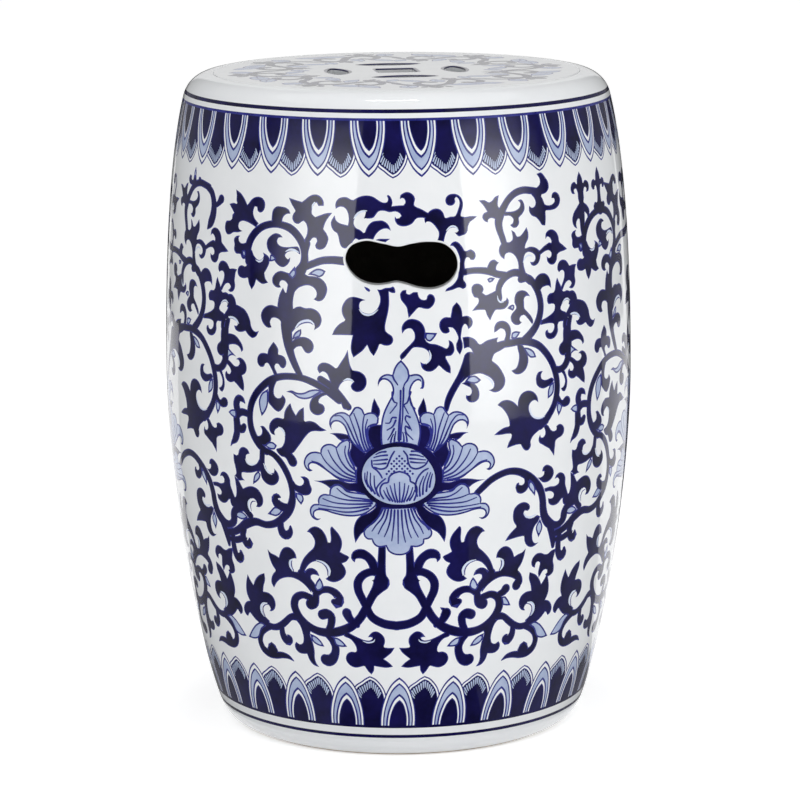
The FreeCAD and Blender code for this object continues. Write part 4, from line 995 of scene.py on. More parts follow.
def cut_chart(rim, shapes, spacing, base="white"):
    """Points, triangles and paint numbers of the area inside rim, cut along the shapes."""
    low, high = rim.min(0), rim.max(0)
    kept = [
        (paint, outline) for paint, outline in shapes
        if len(outline) > 2 and (outline.max(0) >= low).all() and (outline.min(0) <= high).all()
    ]
    points, edges = [], []
    first = 0
    for loop in (rim, *(outline for paint, outline in kept)):
        around = np.arange(len(loop))
        points.append(loop)
        edges.append(np.stack([around, (around + 1) % len(loop)], 1) + first)
        first += len(loop)
    across, along = (np.arange(low[k] + spacing / 2, high[k], spacing) for k in (0, 1))
    grid = np.stack(np.meshgrid(across, along), -1).reshape(-1, 2)
    points.append(grid[inside(rim, grid)])
    flat = [Vector(p) for p in np.vstack(points).tolist()]
    made = delaunay_2d_cdt(flat, np.vstack(edges).tolist(), [], 0, MERGE_DISTANCE, False)
    spots = np.array([tuple(p) for p in made[0]])
    faces = np.array([f for f in made[2] if len(f) == 3])
    corners = spots[faces]
    middles = corners.mean(1)
    sides = corners[:, 1:] - corners[:, :1]
    turned = sides[:, 0, 0] * sides[:, 1, 1] - sides[:, 0, 1] * sides[:, 1, 0]
    faces[turned < 0] = faces[turned < 0][:, ::-1]
    held = inside(rim, middles) & (np.abs(turned) > THIN_TRIANGLE)
    faces, middles = faces[held], middles[held]
    paints = np.full(len(faces), PAINTS.index(base))
    for paint, outline in kept:
        near = ((middles >= outline.min(0)) & (middles <= outline.max(0))).all(1)
        spot = np.flatnonzero(near)
        spot = spot[inside(outline, middles[spot])]
        paints[spot] = HOLE if paint == "hole" else PAINTS.index(paint)
    held = paints != HOLE
    return spots, faces[held], paints[held]


# %% Collect faces and make one object of them
def triangles_of(rows, count):
    """Triangles between neighbouring rows of points, which close on themselves."""
    i, j = np.meshgrid(np.arange(rows - 1), np.arange(count), indexing="ij")
    a, b = i * count + j, i * count + (j + 1) % count
    triples = (a, b, b + count), (a, b + count, a + count)
    return np.vstack([np.stack(triple, -1).reshape(-1, 3) for triple in triples])


def turn_about(places, angle):
    cos, sin = math.cos(angle), math.sin(angle)
    return places @ np.array([[cos, sin, 0], [-sin, cos, 0], [0, 0, 1]])


def lay(skin, places, normals, faces, paints, angle=0.0):
    """Add faces to a skin, turned about the drum's axis."""
    skin.append((turn_about(places, angle), turn_about(normals, angle), faces, paints))


def joined(rows, outline):
    """Places, normals and faces of rows that all follow one outline."""
    faces = triangles_of(len(rows), len(outline))
    places, normals = (np.vstack([row[k] for row in rows]) for k in (0, 1))
    return places, normals, faces if area(outline) > 0 else faces[:, ::-1]


def build(name, skin, finishes, spread):
    """One mesh object from a skin, with its own normals and a flat map for baking."""
    starts = np.cumsum([0] + [len(layer[0]) for layer in skin[:-1]])
    places, normals = (np.vstack([layer[k] for layer in skin]) for k in (0, 1))
    faces = np.vstack([layer[2] + start for layer, start in zip(skin, starts)])
    paints = np.hstack([layer[3] for layer in skin])
    mesh = bpy.data.meshes.new(name)
    mesh.vertices.add(len(places))
    mesh.vertices.foreach_set("co", (places * MM).astype(np.float32).ravel())
    mesh.loops.add(3 * len(faces))
    mesh.loops.foreach_set("vertex_index", faces.astype(np.int32).ravel())
    mesh.polygons.add(len(faces))
    mesh.polygons.foreach_set("loop_start", np.arange(0, 3 * len(faces), 3, dtype=np.int32))
    mesh.polygons.foreach_set("material_index", paints.astype(np.int32))
    mesh.update(calc_edges=True)
    flat_map = mesh.uv_layers.new(name="OFBake")
    flat_map.data.foreach_set("uv", spread(places[faces]).astype(np.float32).ravel())
    mesh.normals_split_custom_set_from_vertices(normals.tolist())
    for finish in finishes:
        mesh.materials.append(finish)
    piece = bpy.data.objects.new(name, mesh)
    bpy.context.scene.collection.objects.link(piece)
    return piece


print("triangles between two rows of six:", len(triangles_of(2, 6)))

# %% [markdown]
# ## The painted drum
# The charts are wrapped on the wall here. A point at `u` along the belly becomes an angle,
# and its height picks the radius off the section. The normals come from the section too,
# not from the small triangles, so reflections run smoothly over the outlines.

# %% Wrap the charts on the wall
FIELD_LOW, FIELD_HIGH = 63.8, 404.0
REPEATS = 4
TILE = AROUND / REPEATS
TILE_START = -131.5
SWING = TILE_START / BELLY_RADIUS
BAND_STEPS, BAND_STEPS_UP = 36, 34
FIELD_STEPS_UP, INSIDE_STEPS_UP = 230, 60
FIELD_SPACING, INSIDE_SPACING = 5.0, 9.0
HAND_EDGE, HAND_EDGE_ROWS = 1.5, 6


def on_wall(spots, curve=OUTER, facing=1):
    angle, z = spots[:, 0] / BELLY_RADIUS, spots[:, 1]
    radius = radius_at(z, curve)
    out, up = slope_at(z, curve)
    places = np.stack([radius * np.sin(angle), -radius * np.cos(angle), z], 1)
    normals = facing * np.stack([out * np.sin(angle), -out * np.cos(angle), up], 1)
    return places, normals


def chart_rim(start, end, low, high, low_steps, high_steps, tall_steps):
    def row(first, last, z, steps):
        return np.stack([np.linspace(first, last, steps + 1), np.full(steps + 1, z)], 1)

    heights = np.linspace(low, high, tall_steps + 1)[1:-1]
    right = np.stack([np.full(len(heights), end), heights], 1)
    left = np.stack([np.full(len(heights), start), heights[::-1]], 1)
    return np.vstack([row(start, end, low, low_steps), right, row(end, start, high, high_steps), left])


def copied(shapes, repeats):
    """The shapes as they stand that many repeats along."""
    return [(paint, outline + [TILE * k, 0]) for paint, outline in shapes for k in repeats]


def repeat_of(own, beside):
    """All the edges and then the cores, with what reaches over from the repeats beside it."""
    shapes = []
    for layer in (0, 1):
        shapes += own[layer] + copied(scroll[layer], (-1, 0, 1)) + copied(beside[layer], (-1, 1))
    return shapes + lotus[0] + lotus[1]


def lay_quarters(rim, front, side, spacing, base="white", curve=OUTER, facing=1):
    """Cut two charts, and lay one in front and behind and the other on both sides."""
    for shapes, angles in ((front, (0, math.pi)), (side, (math.pi / 2, -math.pi / 2))):
        spots, faces, paints = cut_chart(rim, shapes, spacing, base)
        for angle in angles:
            lay(drum, *on_wall(spots, curve, facing), faces[:, ::facing], paints, angle)
        print("quarter of the wall:", len(faces), "triangles")


def on_chart(outline, curve=OUTER):
    """A plan of the hand hole, seen from the front, as it falls on the chart of the wall."""
    x, z = outline[:, 0], outline[:, 1]
    return np.stack([BELLY_RADIUS * np.arcsin(x / radius_at(z, curve)), z], 1)


HAND_HOLE_HEIGHT, HAND_HOLE_SHIFT, HAND_HOLE_ACROSS, HAND_HOLE_UP = 347.7, 2.4, 37.0, 16.0
HAND_HOLE_STATIONS = [
    (-1, 0.27), (-0.92, 0.73), (-0.66, 1), (-0.33, 0.89), (-0.06, 0.77), (0.18, 0.88), (0.45, 0.95),
    (0.79, 0.80), (0.97, 0.33), (0.99, -0.22), (0.85, -0.74), (0.58, -1), (0.29, -0.94), (0.07, -0.78),
    (-0.09, -0.70), (-0.28, -0.78), (-0.46, -0.81), (-0.75, -0.62), (-0.93, -0.21),
]
hand_points = [
    np.array([HAND_HOLE_SHIFT + HAND_HOLE_ACROSS * x, HAND_HOLE_HEIGHT + HAND_HOLE_UP * z])
    for x, z in HAND_HOLE_STATIONS
]
hand_hole = smooth(hand_points, [False] * len(hand_points), True)
hand_mouth = shrunk(hand_hole, -HAND_EDGE)
print("hand hole", np.ptp(hand_hole, axis=0).round(1), "mm")

# %% The field, four times round
drum = []
holed = repeat_of(only_front, only_side) + [("hole", on_chart(hand_mouth))]
whole = repeat_of(only_side, only_front)
low_steps, high_steps = (BAND_STEPS * n // REPEATS for n in (LOWER_REPEATS, UPPER_REPEATS))
tile = TILE_START, TILE_START + TILE
rim = chart_rim(*tile, FIELD_LOW, FIELD_HIGH, low_steps, high_steps, FIELD_STEPS_UP)
lay_quarters(rim, holed, whole, FIELD_SPACING)

# %% The bands
for shapes, repeats, low, high in (
    (lower_band, LOWER_REPEATS, LOWER_BASE, FIELD_LOW),
    (upper_band, UPPER_REPEATS, FIELD_HIGH, UPPER_BASE),
):
    rim = chart_rim(0, AROUND / repeats, low, high, BAND_STEPS, BAND_STEPS, BAND_STEPS_UP)
    spots, faces, paints = cut_chart(rim, shapes, FIELD_SPACING)
    for turn in range(repeats):
        lay(drum, *on_wall(spots), faces, paints, SWING + 2 * math.pi * turn / repeats)
    print("band chart:", len(faces), "triangles")

# %% [markdown]
# ## Above and below the bands
# What is left of the wall has only plain rings: a dark one under the lower petals with a
# thin line below it, and the same over the upper petals, where the wall rolls over into the
# seat. They are turned, as on the potter's wheel.

# %% Turn a profile on the wheel
TURNED_COUNT = 288
LOWER_COUNT, UPPER_COUNT = LOWER_REPEATS * BAND_STEPS, UPPER_REPEATS * BAND_STEPS


def wheel(skin, profile, paint, count=TURNED_COUNT, angle=0.0):
    """Lay rings between points of radius, height and normal; paint can be one per ring."""
    angles = angle + np.linspace(0, 2 * math.pi, count, endpoint=False)
    sin, cos = np.sin(angles), -np.cos(angles)
    r, z, out, up = [np.array(column)[:, None] for column in zip(*profile)]
    flat = np.zeros(count)
    places = np.stack([r * sin, r * cos, z + flat], -1).reshape(-1, 3)
    normals = np.stack([out * sin, out * cos, up + flat], -1).reshape(-1, 3)
    names = [paint] * (len(profile) - 1) if isinstance(paint, str) else paint
    faces = triangles_of(len(profile), count)
    paints = np.array([PAINTS.index(name) for name in names])[faces.min(1) // count]
    lay(skin, places, normals, faces, paints)


def wall_points(heights):
    return list(zip(radius_at(heights), heights, *slope_at(heights)))


def arc(middle, height, radius, start, end, count, facing=1):
    """Points of a round-over by the angle above level, with normals out of it or into it."""
    turns = [(math.cos(a), math.sin(a)) for a in np.linspace(start, end, count)]
    return [(middle + radius * c, height + radius * s, facing * c, facing * s) for c, s in turns]


foot_rows = [14, 15, 16.1, 18.5, 20.2, 22, 23.8, LOWER_BASE]
foot_paints = ["white", "white", "navy", "white", "white", "white", "navy"]
wheel(drum, wall_points(foot_rows), foot_paints, LOWER_COUNT, SWING)
shoulder_rows = [UPPER_BASE, 443.7, 445.4, 446.9, 449.3]
shoulder_paints = ["line", "white", "white", "navy"]
wheel(drum, wall_points(shoulder_rows), shoulder_paints, UPPER_COUNT, SWING)
roll_height = HEIGHT - SHOULDER_ROLL
roll_start = math.asin((shoulder_rows[-1] - roll_height) / SHOULDER_ROLL)
shoulder = arc(PANEL_RADIUS, roll_height, SHOULDER_ROLL, roll_start, math.pi / 2, 14)
wheel(drum, shoulder, "white", UPPER_COUNT, SWING)
print("rings laid:", len(foot_rows) + len(shoulder_rows) + len(shoulder) - 3)

# %% [markdown]
# ## The lip, the ledge and the inside
# The wall's top turns down into a step that the seat is luted into, and a ledge under it
# carries the seat. Both were thrown with the wall, so they belong to the same skin. The
# inside follows the outside at the thickness of the wall. Its bare clay is made far darker
# than the foot's, as painted shade in the hollow of the drum.

# %% Lip, ledge and inner wall
LIP_DROP, LEDGE_FILLET = 0.9, 7.0
INNER_TOP = LEDGE_BOTTOM - LEDGE_FILLET
lip = [
    (PANEL_RADIUS, HEIGHT, 0, 1),
    (PANEL_RADIUS - 0.5, HEIGHT - 0.08, -0.3, 0.95),
    (PANEL_RADIUS - 0.9, HEIGHT - 0.35, -0.7, 0.7),
    (REBATE_RADIUS, HEIGHT - LIP_DROP, -0.95, 0.3),
]
wheel(drum, lip, "white", UPPER_COUNT, SWING)
fillet_middle = radius_at(INNER_TOP, INNER) - LEDGE_FILLET
fillet = arc(fillet_middle, INNER_TOP, LEDGE_FILLET, math.pi / 2, 0, 7, -1)
foot_inner = radius_at(FOOT_HEIGHT, INNER)
for paint, *profile in (
    ("white", (REBATE_RADIUS, HEIGHT - LIP_DROP, -1, 0), (REBATE_RADIUS, LEDGE_TOP, -1, 0)),
    ("white", (REBATE_RADIUS, LEDGE_TOP, 0, 1), (LEDGE_RADIUS, LEDGE_TOP, 0, 1)),
    ("white", (LEDGE_RADIUS, LEDGE_TOP, -1, 0), (LEDGE_RADIUS, LEDGE_BOTTOM, -1, 0)),
    # The ledge's underside and the top of the foot inside take the dark inside paint, which is painted
    # shade in the hollow drum.
    ("inside", (LEDGE_RADIUS, LEDGE_BOTTOM, 0, -1), *fillet),
    ("inside", (foot_inner, FOOT_HEIGHT, 0, -1), (FOOT_RADIUS, FOOT_HEIGHT, 0, -1)),
):
    wheel(drum, profile, paint)
steps = TURNED_COUNT // REPEATS
# The inner wall takes the dark inside paint too, which is painted shade for the hollow of the drum.
rim = chart_rim(*tile, FOOT_HEIGHT, INNER_TOP, steps, steps, INSIDE_STEPS_UP)
inner_hole = [("hole", on_chart(hand_hole, INNER))]
lay_quarters(rim, inner_hole, [], INSIDE_SPACING, "inside", INNER, -1)
print("wall thickness", round(BELLY_RADIUS - radius_at(BELLY_HEIGHT, INNER), 1), "mm")

# %% [markdown]
# ## The edge of a hand hole
# The hole is cut straight through while the clay is leather hard, and its outer edge is
# wiped round with a wet finger. A row of outlines goes from the mouth to the straight part
# over a quarter circle, and then back to the inner wall.

# %% Edge and throat of the hand holes
def mouth_row(turn):
    """Outline and normals at one angle of the quarter circle, from 0 at the wall."""
    outline = hand_hole + (hand_mouth - hand_hole) * (1 - math.sin(turn))
    x, z = outline[:, 0], outline[:, 1]
    depth = -np.sqrt(radius_at(z) ** 2 - x**2) + HAND_EDGE * (1 - math.cos(turn))
    out, up = slope_at(z)
    angle = np.arcsin(x / radius_at(z))
    wall = np.stack([out * np.sin(angle), -out * np.cos(angle), up], 1)
    inwards = np.zeros_like(wall)
    inwards[:, [0, 2]] = (hand_hole - hand_mouth) / HAND_EDGE
    return np.stack([x, depth, z], 1), wall * math.cos(turn) + inwards * math.sin(turn)


rows = [mouth_row(turn) for turn in np.linspace(0, math.pi / 2, HAND_EDGE_ROWS)]
x, z = hand_hole[:, 0], hand_hole[:, 1]
throat = np.stack([x, -np.sqrt(radius_at(z, INNER) ** 2 - x**2), z], 1)
rows.append((throat, rows[-1][1]))
places, normals, edge_faces = joined(rows, hand_hole)
for angle in (0, math.pi):
    lay(drum, places, normals, edge_faces, np.zeros(len(edge_faces), int), angle)
print("hand hole edge:", len(edge_faces), "triangles each")

# %% [markdown]
# ## The seat and its coin
# The seat is a disc pierced like an old coin: a square in the middle and four slots that
# are bulging arcs outside and inside. The outlines are drawn once, in plan, and the top
# face is cut along them like the wall, together with its own ring of scrolls.

# %% Outlines of the coin
SEAT_RADIUS, SEAT_TOP, SEAT_BOTTOM, SEAT_CHAMFER = 127.2, HEIGHT, LEDGE_TOP, 0.75
COIN_TURN = math.radians(8)
COIN_SQUARE, COIN_CORNER, COIN_RADIUS = 26.0, 2.0, 48.0
SLOT_LENGTH, SLOT_DEPTH, SLOT_TIP = 44.0, 14.0, 1.5
PIERCED_EDGE, PIERCED_RIM = 1.0, 2.6
SLOT_POINTS, SLOT_STEP, PIERCED_ROWS = 36, 0.8, 5


def spun(plan, angle):
    cos, sin = math.cos(angle), math.sin(angle)
    return plan @ np.array([[cos, sin], [-sin, cos]])


def coin_square():
    """The square hole, with its corners rounded by the piercing knife."""
    straight = COIN_SQUARE / 2 - COIN_CORNER
    turns = np.linspace(0, math.pi / 2, 5)
    corner = straight + COIN_CORNER * np.stack([np.cos(turns), np.sin(turns)], 1)
    return np.vstack([spun(corner, quarter * math.pi / 2) for quarter in range(4)])


def coin_slot():
    """A slot between two arcs, with rounded tips, at the back of the seat."""
    half = SLOT_LENGTH / 2
    chord = math.sqrt(COIN_RADIUS**2 - half**2)
    sag = SLOT_DEPTH - (COIN_RADIUS - chord)
    belly_radius = (half**2 + sag**2) / (2 * sag)
    belly_centre = chord - sag + belly_radius
    rim_turn, belly_turn = math.asin(half / COIN_RADIUS), math.asin(half / belly_radius)
    tip_angle = (rim_turn + belly_turn) / 2
    trim = SLOT_TIP / math.tan(tip_angle)
    tip = half - (SLOT_TIP / math.sin(tip_angle) - SLOT_TIP)
    tip_slope = math.tan((belly_turn - rim_turn) / 2)
    rim = np.linspace(rim_turn - trim / COIN_RADIUS, trim / COIN_RADIUS - rim_turn, SLOT_POINTS)
    belly = np.linspace(trim / belly_radius - belly_turn, belly_turn - trim / belly_radius, SLOT_POINTS)
    upper = COIN_RADIUS * np.stack([np.sin(rim), np.cos(rim)], 1)
    lower = np.array([0, belly_centre]) + belly_radius * np.stack([np.sin(belly), -np.cos(belly)], 1)
    tip_height = chord + (half - tip) * tip_slope
    points = np.vstack([upper, [-tip, tip_height], lower, [tip, tip_height]])
    return smooth(list(points), [False] * len(points), True, SLOT_STEP)


piercings = [spun(coin_square(), COIN_TURN)]
piercings += [spun(coin_slot(), COIN_TURN + quarter * math.pi / 2) for quarter in range(4)]
print("slot", np.ptp(coin_slot(), axis=0).round(1), "mm")

# %% The ring of scrolls round the coin
SEAT_SCROLL = """
brush -1,88,5.2 8,98,5.6 20,103,6.2 31,98,6.4 38,88,6.4 45,78,6.4 55,75,6 64,80,5.6 70,88,5.2
brush 22,103,5 15,96,5.4 14,87,6 20,81,6.6 26,84,7.2
brush 53,75,5 59,84,5.4 58,93,6 51,98,6.6 46,94,7.2
leaf 30,101! 35,109 44,112 53,109! 50,102 42,98
vein 33,103 41,106 50,108
leaf 24,77! 18,69 10,64 2,65! 5,73 13,78
vein 21,76 14,71 5,67
leaf 7,99! 2,105 2,112 8,117! 12,110 12,104
vein 7.6,102 6,108 7.4,114
leaf 61,74! 60,67 64,62 70,60! 72,67 68,73
vein 63,72 65,67 69,62.6
leaf 32,86! 27,78 28,71 34,65! 38,73 38,80
vein 33,83 32,76 34,69
leaf 46,98! 47,106 53,113 61,115! 60,106 55,100
vein 49,101 53,107 58.6,112
fill 20,105! 17,111 18,116 21,120! 24,116 25,111
brush 19,106,2.6 15.5,109,3.4 14.5,113,4.2
brush 23,106,2.6 27,109,3.4 28.2,113.5,4.2
fill 46,75! 43,69 44,64 47,60! 50,64 51,69
brush 45,74,2.4 42,71.5,3 41.3,68,3.6
brush 48,74,2.4 52,71.5,3 53.5,68,4
"""
SEAT_SECTORS, SEAT_SCROLL_RADIUS = 8, 88.0


def on_ring(outline, sector):
    """A strip of the scroll bent round the coin."""
    angle = outline[:, 0] / SEAT_SCROLL_RADIUS + sector * 2 * math.pi / SEAT_SECTORS
    return outline[:, 1:] * np.stack([np.sin(angle), -np.cos(angle)], 1)


seat_shapes = [
    (paint, on_ring(outline, sector))
    for paint, outline in painted(marks(SEAT_SCROLL)) for sector in range(SEAT_SECTORS)
]
print("outlines on the seat:", len(seat_shapes))

# %% The disc
DISC_COUNT = 360
seat = []
turns = np.linspace(0, 2 * math.pi, DISC_COUNT, endpoint=False)
circle = np.stack([np.cos(turns), np.sin(turns)], 1)
for top in (True, False):
    reach = SEAT_RADIUS - (SEAT_CHAMFER if top else 0)
    openings = [("hole", shrunk(p, -PIERCED_EDGE) if top else p) for p in piercings]
    rims = [("navy", shrunk(p, -PIERCED_RIM)) for p in piercings]
    drawn = seat_shapes + rims + openings if top else openings
    spots, faces, paints = cut_chart(reach * circle, drawn, FIELD_SPACING * (1 if top else 2))
    places = np.column_stack([spots, np.full(len(spots), SEAT_TOP if top else SEAT_BOTTOM)])
    normals = np.tile([0.0, 0.0, 1.0 if top else -1.0], (len(places), 1))
    lay(seat, places, normals, faces if top else faces[:, ::-1], paints)
rim_rows = [
    (SEAT_RADIUS - SEAT_CHAMFER, SEAT_TOP, 0.1, 0.99),
    (SEAT_RADIUS - 0.3, SEAT_TOP - 0.22, 0.5, 0.86),
    (SEAT_RADIUS, SEAT_TOP - SEAT_CHAMFER, 0.95, 0.3),
    (SEAT_RADIUS, SEAT_BOTTOM, 1, 0),
]
wheel(seat, rim_rows[::-1], "white", DISC_COUNT)
for opening in piercings:
    mouth = shrunk(opening, -PIERCED_EDGE)
    inwards = (opening - mouth) / PIERCED_EDGE
    rows = []
    for turn in np.linspace(0, math.pi / 2, PIERCED_ROWS):
        plan = opening + (mouth - opening) * (1 - math.sin(turn))
        drop = PIERCED_EDGE * (1 - math.cos(turn))
        normals = np.column_stack([inwards * math.sin(turn), np.full(len(plan), math.cos(turn))])
        rows.append((np.column_stack([plan, np.full(len(plan), SEAT_TOP - drop)]), normals))
    rows.append((np.column_stack([opening, np.full(len(opening), SEAT_BOTTOM)]), rows[-1][1]))
    places, normals, edge_faces = joined(rows, opening)
    on_edge = np.tile(np.repeat(np.arange(len(rows) - 1) < len(rows) - 2, len(opening)), 2)
    lay(seat, places, normals, edge_faces, on_edge * PAINTS.index("navy"))
print("seat openings:", len(piercings))

# %% [markdown]
# ## The foot
# The wall rolls under into a thick ring. It is glazed like the rest, but its lowest edge is
# wiped clean before firing, so that the stool doesn't fuse to the kiln shelf. The ring is
# another turned profile with the bare clay as its second finish.

# %% The foot ring
FOOT_WIDTH, FOOT_EDGE, BARE_HEIGHT, BARE_WIDTH = 33.3, 2.0, 1.5, 3.0
foot = []
lean = math.asin(1 - FOOT_HEIGHT / FOOT_ROLL)
bare = math.asin(1 - BARE_HEIGHT / FOOT_ROLL)
roll_middle = FOOT_RADIUS - FOOT_ROLL * math.cos(lean)
rolled = arc(roll_middle, FOOT_ROLL, FOOT_ROLL, -bare, -lean, 12)
bore = FOOT_RADIUS - FOOT_WIDTH
flat = bore + FOOT_EDGE
bare_start = rolled[0][0]
stand = bare_start - BARE_WIDTH
wheel(foot, rolled, "white", LOWER_COUNT, SWING)
wheel(foot, [(stand, 0, 0.3, -0.95), (bare_start, BARE_HEIGHT, 0.4, -0.92)], "clay", LOWER_COUNT, SWING)
for paint, *profile in (
    ("clay", (flat, 0, 0, -1), (stand, 0, 0, -1)),
    ("clay", (bore, FOOT_EDGE, -0.9, -0.4), (flat, 0, -0.4, -0.9)),
    ("white", (bore, FOOT_HEIGHT - FOOT_EDGE, -1, 0), (bore, FOOT_EDGE, -1, 0)),
    ("white", (flat, FOOT_HEIGHT, -0.4, 0.9), (bore, FOOT_HEIGHT - FOOT_EDGE, -0.9, 0.4)),
    ("white", (FOOT_RADIUS, FOOT_HEIGHT, 0, 1), (flat, FOOT_HEIGHT, 0, 1)),
):
    wheel(foot, profile, paint)
print("foot ring stands on a ring", round(2 * stand, 1), "mm across")

# %% [markdown]
# ## Glaze, cobalt and clay
# Below is the matt clay body with the cobalt soaked into it, and above lies a clear, glassy
# glaze. Principled's coat is that glaze, so all the paints share one coat and one faint
# waviness, and only the colour below differs. Cobalt is never even, so a noise texture
# drifts each paint between two shades.

# %% One recipe for everything under the glaze
GLAZE_WAVES = [(34.0, 0.00009), (620.0, 0.000006)]
CLAY_GRAIN = [(160.0, 0.0004), (900.0, 0.0002)]
DRIFT_LOW, DRIFT_HIGH = 0.32, 0.68
GLAZED = {
    "Roughness": 0.45,
    "Specular IOR Level": 0.1,
    "Coat Weight": 1.0,
    "Coat Roughness": 0.045,
    "Coat IOR": 1.5,
}
UNGLAZED = {"Roughness": 0.88, "Specular IOR Level": 0.25}


def set_inputs(node, values):
    for name, value in values.items():
        node.inputs[name].default_value = value
    return node


def new_material(name):
    material = bpy.data.materials.new(name)
    material.use_nodes = True
    return material, material.node_tree.nodes, material.node_tree.links


def set_ramp(ramp, stops):
    """Put the ramp's stops at their positions, with their colours."""
    stones = ramp.color_ramp.elements
    while len(stones) < len(stops):
        stones.new(0.5)
    for stone, (position, colour) in zip(stones, stops):
        stone.position = position
        stone.color = (*colour, 1)
    return ramp


def shaded(nodes, links, place, scale, low, high):
    """A noise that drifts between two colours."""
    values = {"Scale": scale, "Detail": 6.0, "Roughness": 0.62}
    noise = set_inputs(nodes.new("ShaderNodeTexNoise"), values)
    ramp = set_ramp(nodes.new("ShaderNodeValToRGB"), [(DRIFT_LOW, low), (DRIFT_HIGH, high)])
    links.new(place, noise.inputs["Vector"])
    links.new(noise.outputs["Fac"], ramp.inputs["Fac"])
    return ramp.outputs["Color"]


def waves(nodes, links, place, layers):
    """Bump from several noises, coarse first."""
    normal = None
    for scale, depth in layers:
        noise = set_inputs(nodes.new("ShaderNodeTexNoise"), {"Scale": scale, "Detail": 2.0})
        bump = set_inputs(nodes.new("ShaderNodeBump"), {"Distance": depth})
        links.new(place, noise.inputs["Vector"])
        links.new(noise.outputs["Fac"], bump.inputs["Height"])
        if normal:
            links.new(normal, bump.inputs["Normal"])
        normal = bump.outputs["Normal"]
    return normal


def finish(name, low, high, scale, glazed=True):
    material, nodes, links = new_material(name)
    shader = set_inputs(nodes["Principled BSDF"], GLAZED if glazed else UNGLAZED)
    place = nodes.new("ShaderNodeTexCoord").outputs["Object"]
    links.new(shaded(nodes, links, place, scale, low, high), shader.inputs["Base Color"])
    normal = waves(nodes, links, place, GLAZE_WAVES if glazed else CLAY_GRAIN)
    if glazed:
        links.new(normal, shader.inputs["Coat Normal"])
    links.new(normal, shader.inputs["Normal"])
    return material


finishes = [
    finish("white_glaze", (0.80, 0.82, 0.84), (0.85, 0.865, 0.88), 18.0),
    finish("cobalt_dark", (0.0018, 0.0013, 0.028), (0.0065, 0.0048, 0.085), 48.0),
    finish("cobalt_line", (0.012, 0.014, 0.15), (0.032, 0.038, 0.27), 110.0),
    finish("cobalt_wash", (0.33, 0.40, 0.60), (0.47, 0.54, 0.71), 70.0),
    finish("cobalt_sheen", (0.56, 0.64, 0.82), (0.70, 0.76, 0.88), 60.0),
    finish("bare_clay", (0.50, 0.42, 0.33), (0.72, 0.62, 0.50), 45.0, glazed=False),
    # The inner clay is much darker than bare_clay above, as painted shade for the hollow of the drum.
    finish("inner_clay_painted_shade", (0.10, 0.085, 0.07), (0.17, 0.145, 0.12), 30.0, glazed=False),
]
print("finishes:", [material.name for material in finishes])

# %% [markdown]
# ## From skins to objects
# The skins stand for the barrel, the seat disc and the foot ring of the frame. The two
# coils of clay that lute them from inside are already right in shape, so the frame's own
# pieces stay and only get their clay. Each skin also gets a flat map: the wall unrolled,
# the seat from above, and the foot unrolled round its section.

# %% Build the three skins and dress the coils
def way_round(corners):
    """Each corner's share of the way round the axis, with no jump inside a face."""
    middle = corners.mean(1)
    about = np.arctan2(middle[:, 0], -middle[:, 1])[:, None]
    angle = np.arctan2(corners[:, :, 0], -corners[:, :, 1])
    angle = about + (angle - about + math.pi) % (2 * math.pi) - math.pi
    return np.clip(angle / (2 * math.pi) + 0.5, 0, 1)


def unrolled(corners):
    """Wall outside in the upper part of the map and everything inside below it."""
    middle = corners.mean(1)
    outside = np.hypot(middle[:, 0], middle[:, 1]) > radius_at(middle[:, 2]) - WALL / 2
    share = corners[:, :, 2] / HEIGHT
    along = np.where(outside[:, None], 0.3 + 0.69 * share, 0.28 * share)
    return np.stack([way_round(corners), along], -1)


def from_above(corners):
    above = corners[:, :, 2].mean(1) > (SEAT_TOP + SEAT_BOTTOM) / 2
    plan = corners[:, :, :2] / (4.1 * SEAT_RADIUS)
    plan[:, :, 0] += np.where(above, 0.25, 0.75)[:, None]
    plan[:, :, 1] += 0.5
    return plan


def round_section(corners):
    radius = np.hypot(corners[:, :, 0], corners[:, :, 1])
    along = np.arctan2(corners[:, :, 2] - FOOT_HEIGHT / 2, radius - FOOT_RADIUS + FOOT_WIDTH / 2)
    return np.stack([way_round(corners), along / (2 * math.pi) + 0.5], -1)


skins = {
    "barrel": ("drum_painted", drum, unrolled, "painted_glaze"),
    "seat_disc": ("seat_painted", seat, from_above, "painted_glaze"),
    "foot_ring": ("foot_glazed", foot, round_section, "clear_glaze"),
}
for node, (name, skin, spread, slot) in skins.items():
    piece = build(name, skin, finishes, spread)
    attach(piece, "root")
    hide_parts(node)
    print(name, len(piece.data.polygons), "faces")
for node in ("seat_coil", "foot_coil"):
    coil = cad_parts[node]
    coil.data.materials.clear()
    coil.data.materials.append(finishes[PAINTS.index("clay")])
    print(node, "dressed in", coil.data.materials[0].name)

# %% [markdown]
# ## Floor and surroundings
# The stool stands on a plain white floor that runs far back, so no horizon shows. The
# floor keeps the shadow, and a little glow for the camera and for reflections lifts it to
# white. A glossy pot mirrors its room, so a photographer hides most of it behind dark
# flags. They are here too: sheets that only reflections see, upright all round and flat on
# the floor. The floor stays open far left and right, where its white rims the sides, and a
# paler sheet behind stands for the backdrop that the flat seat mirrors.

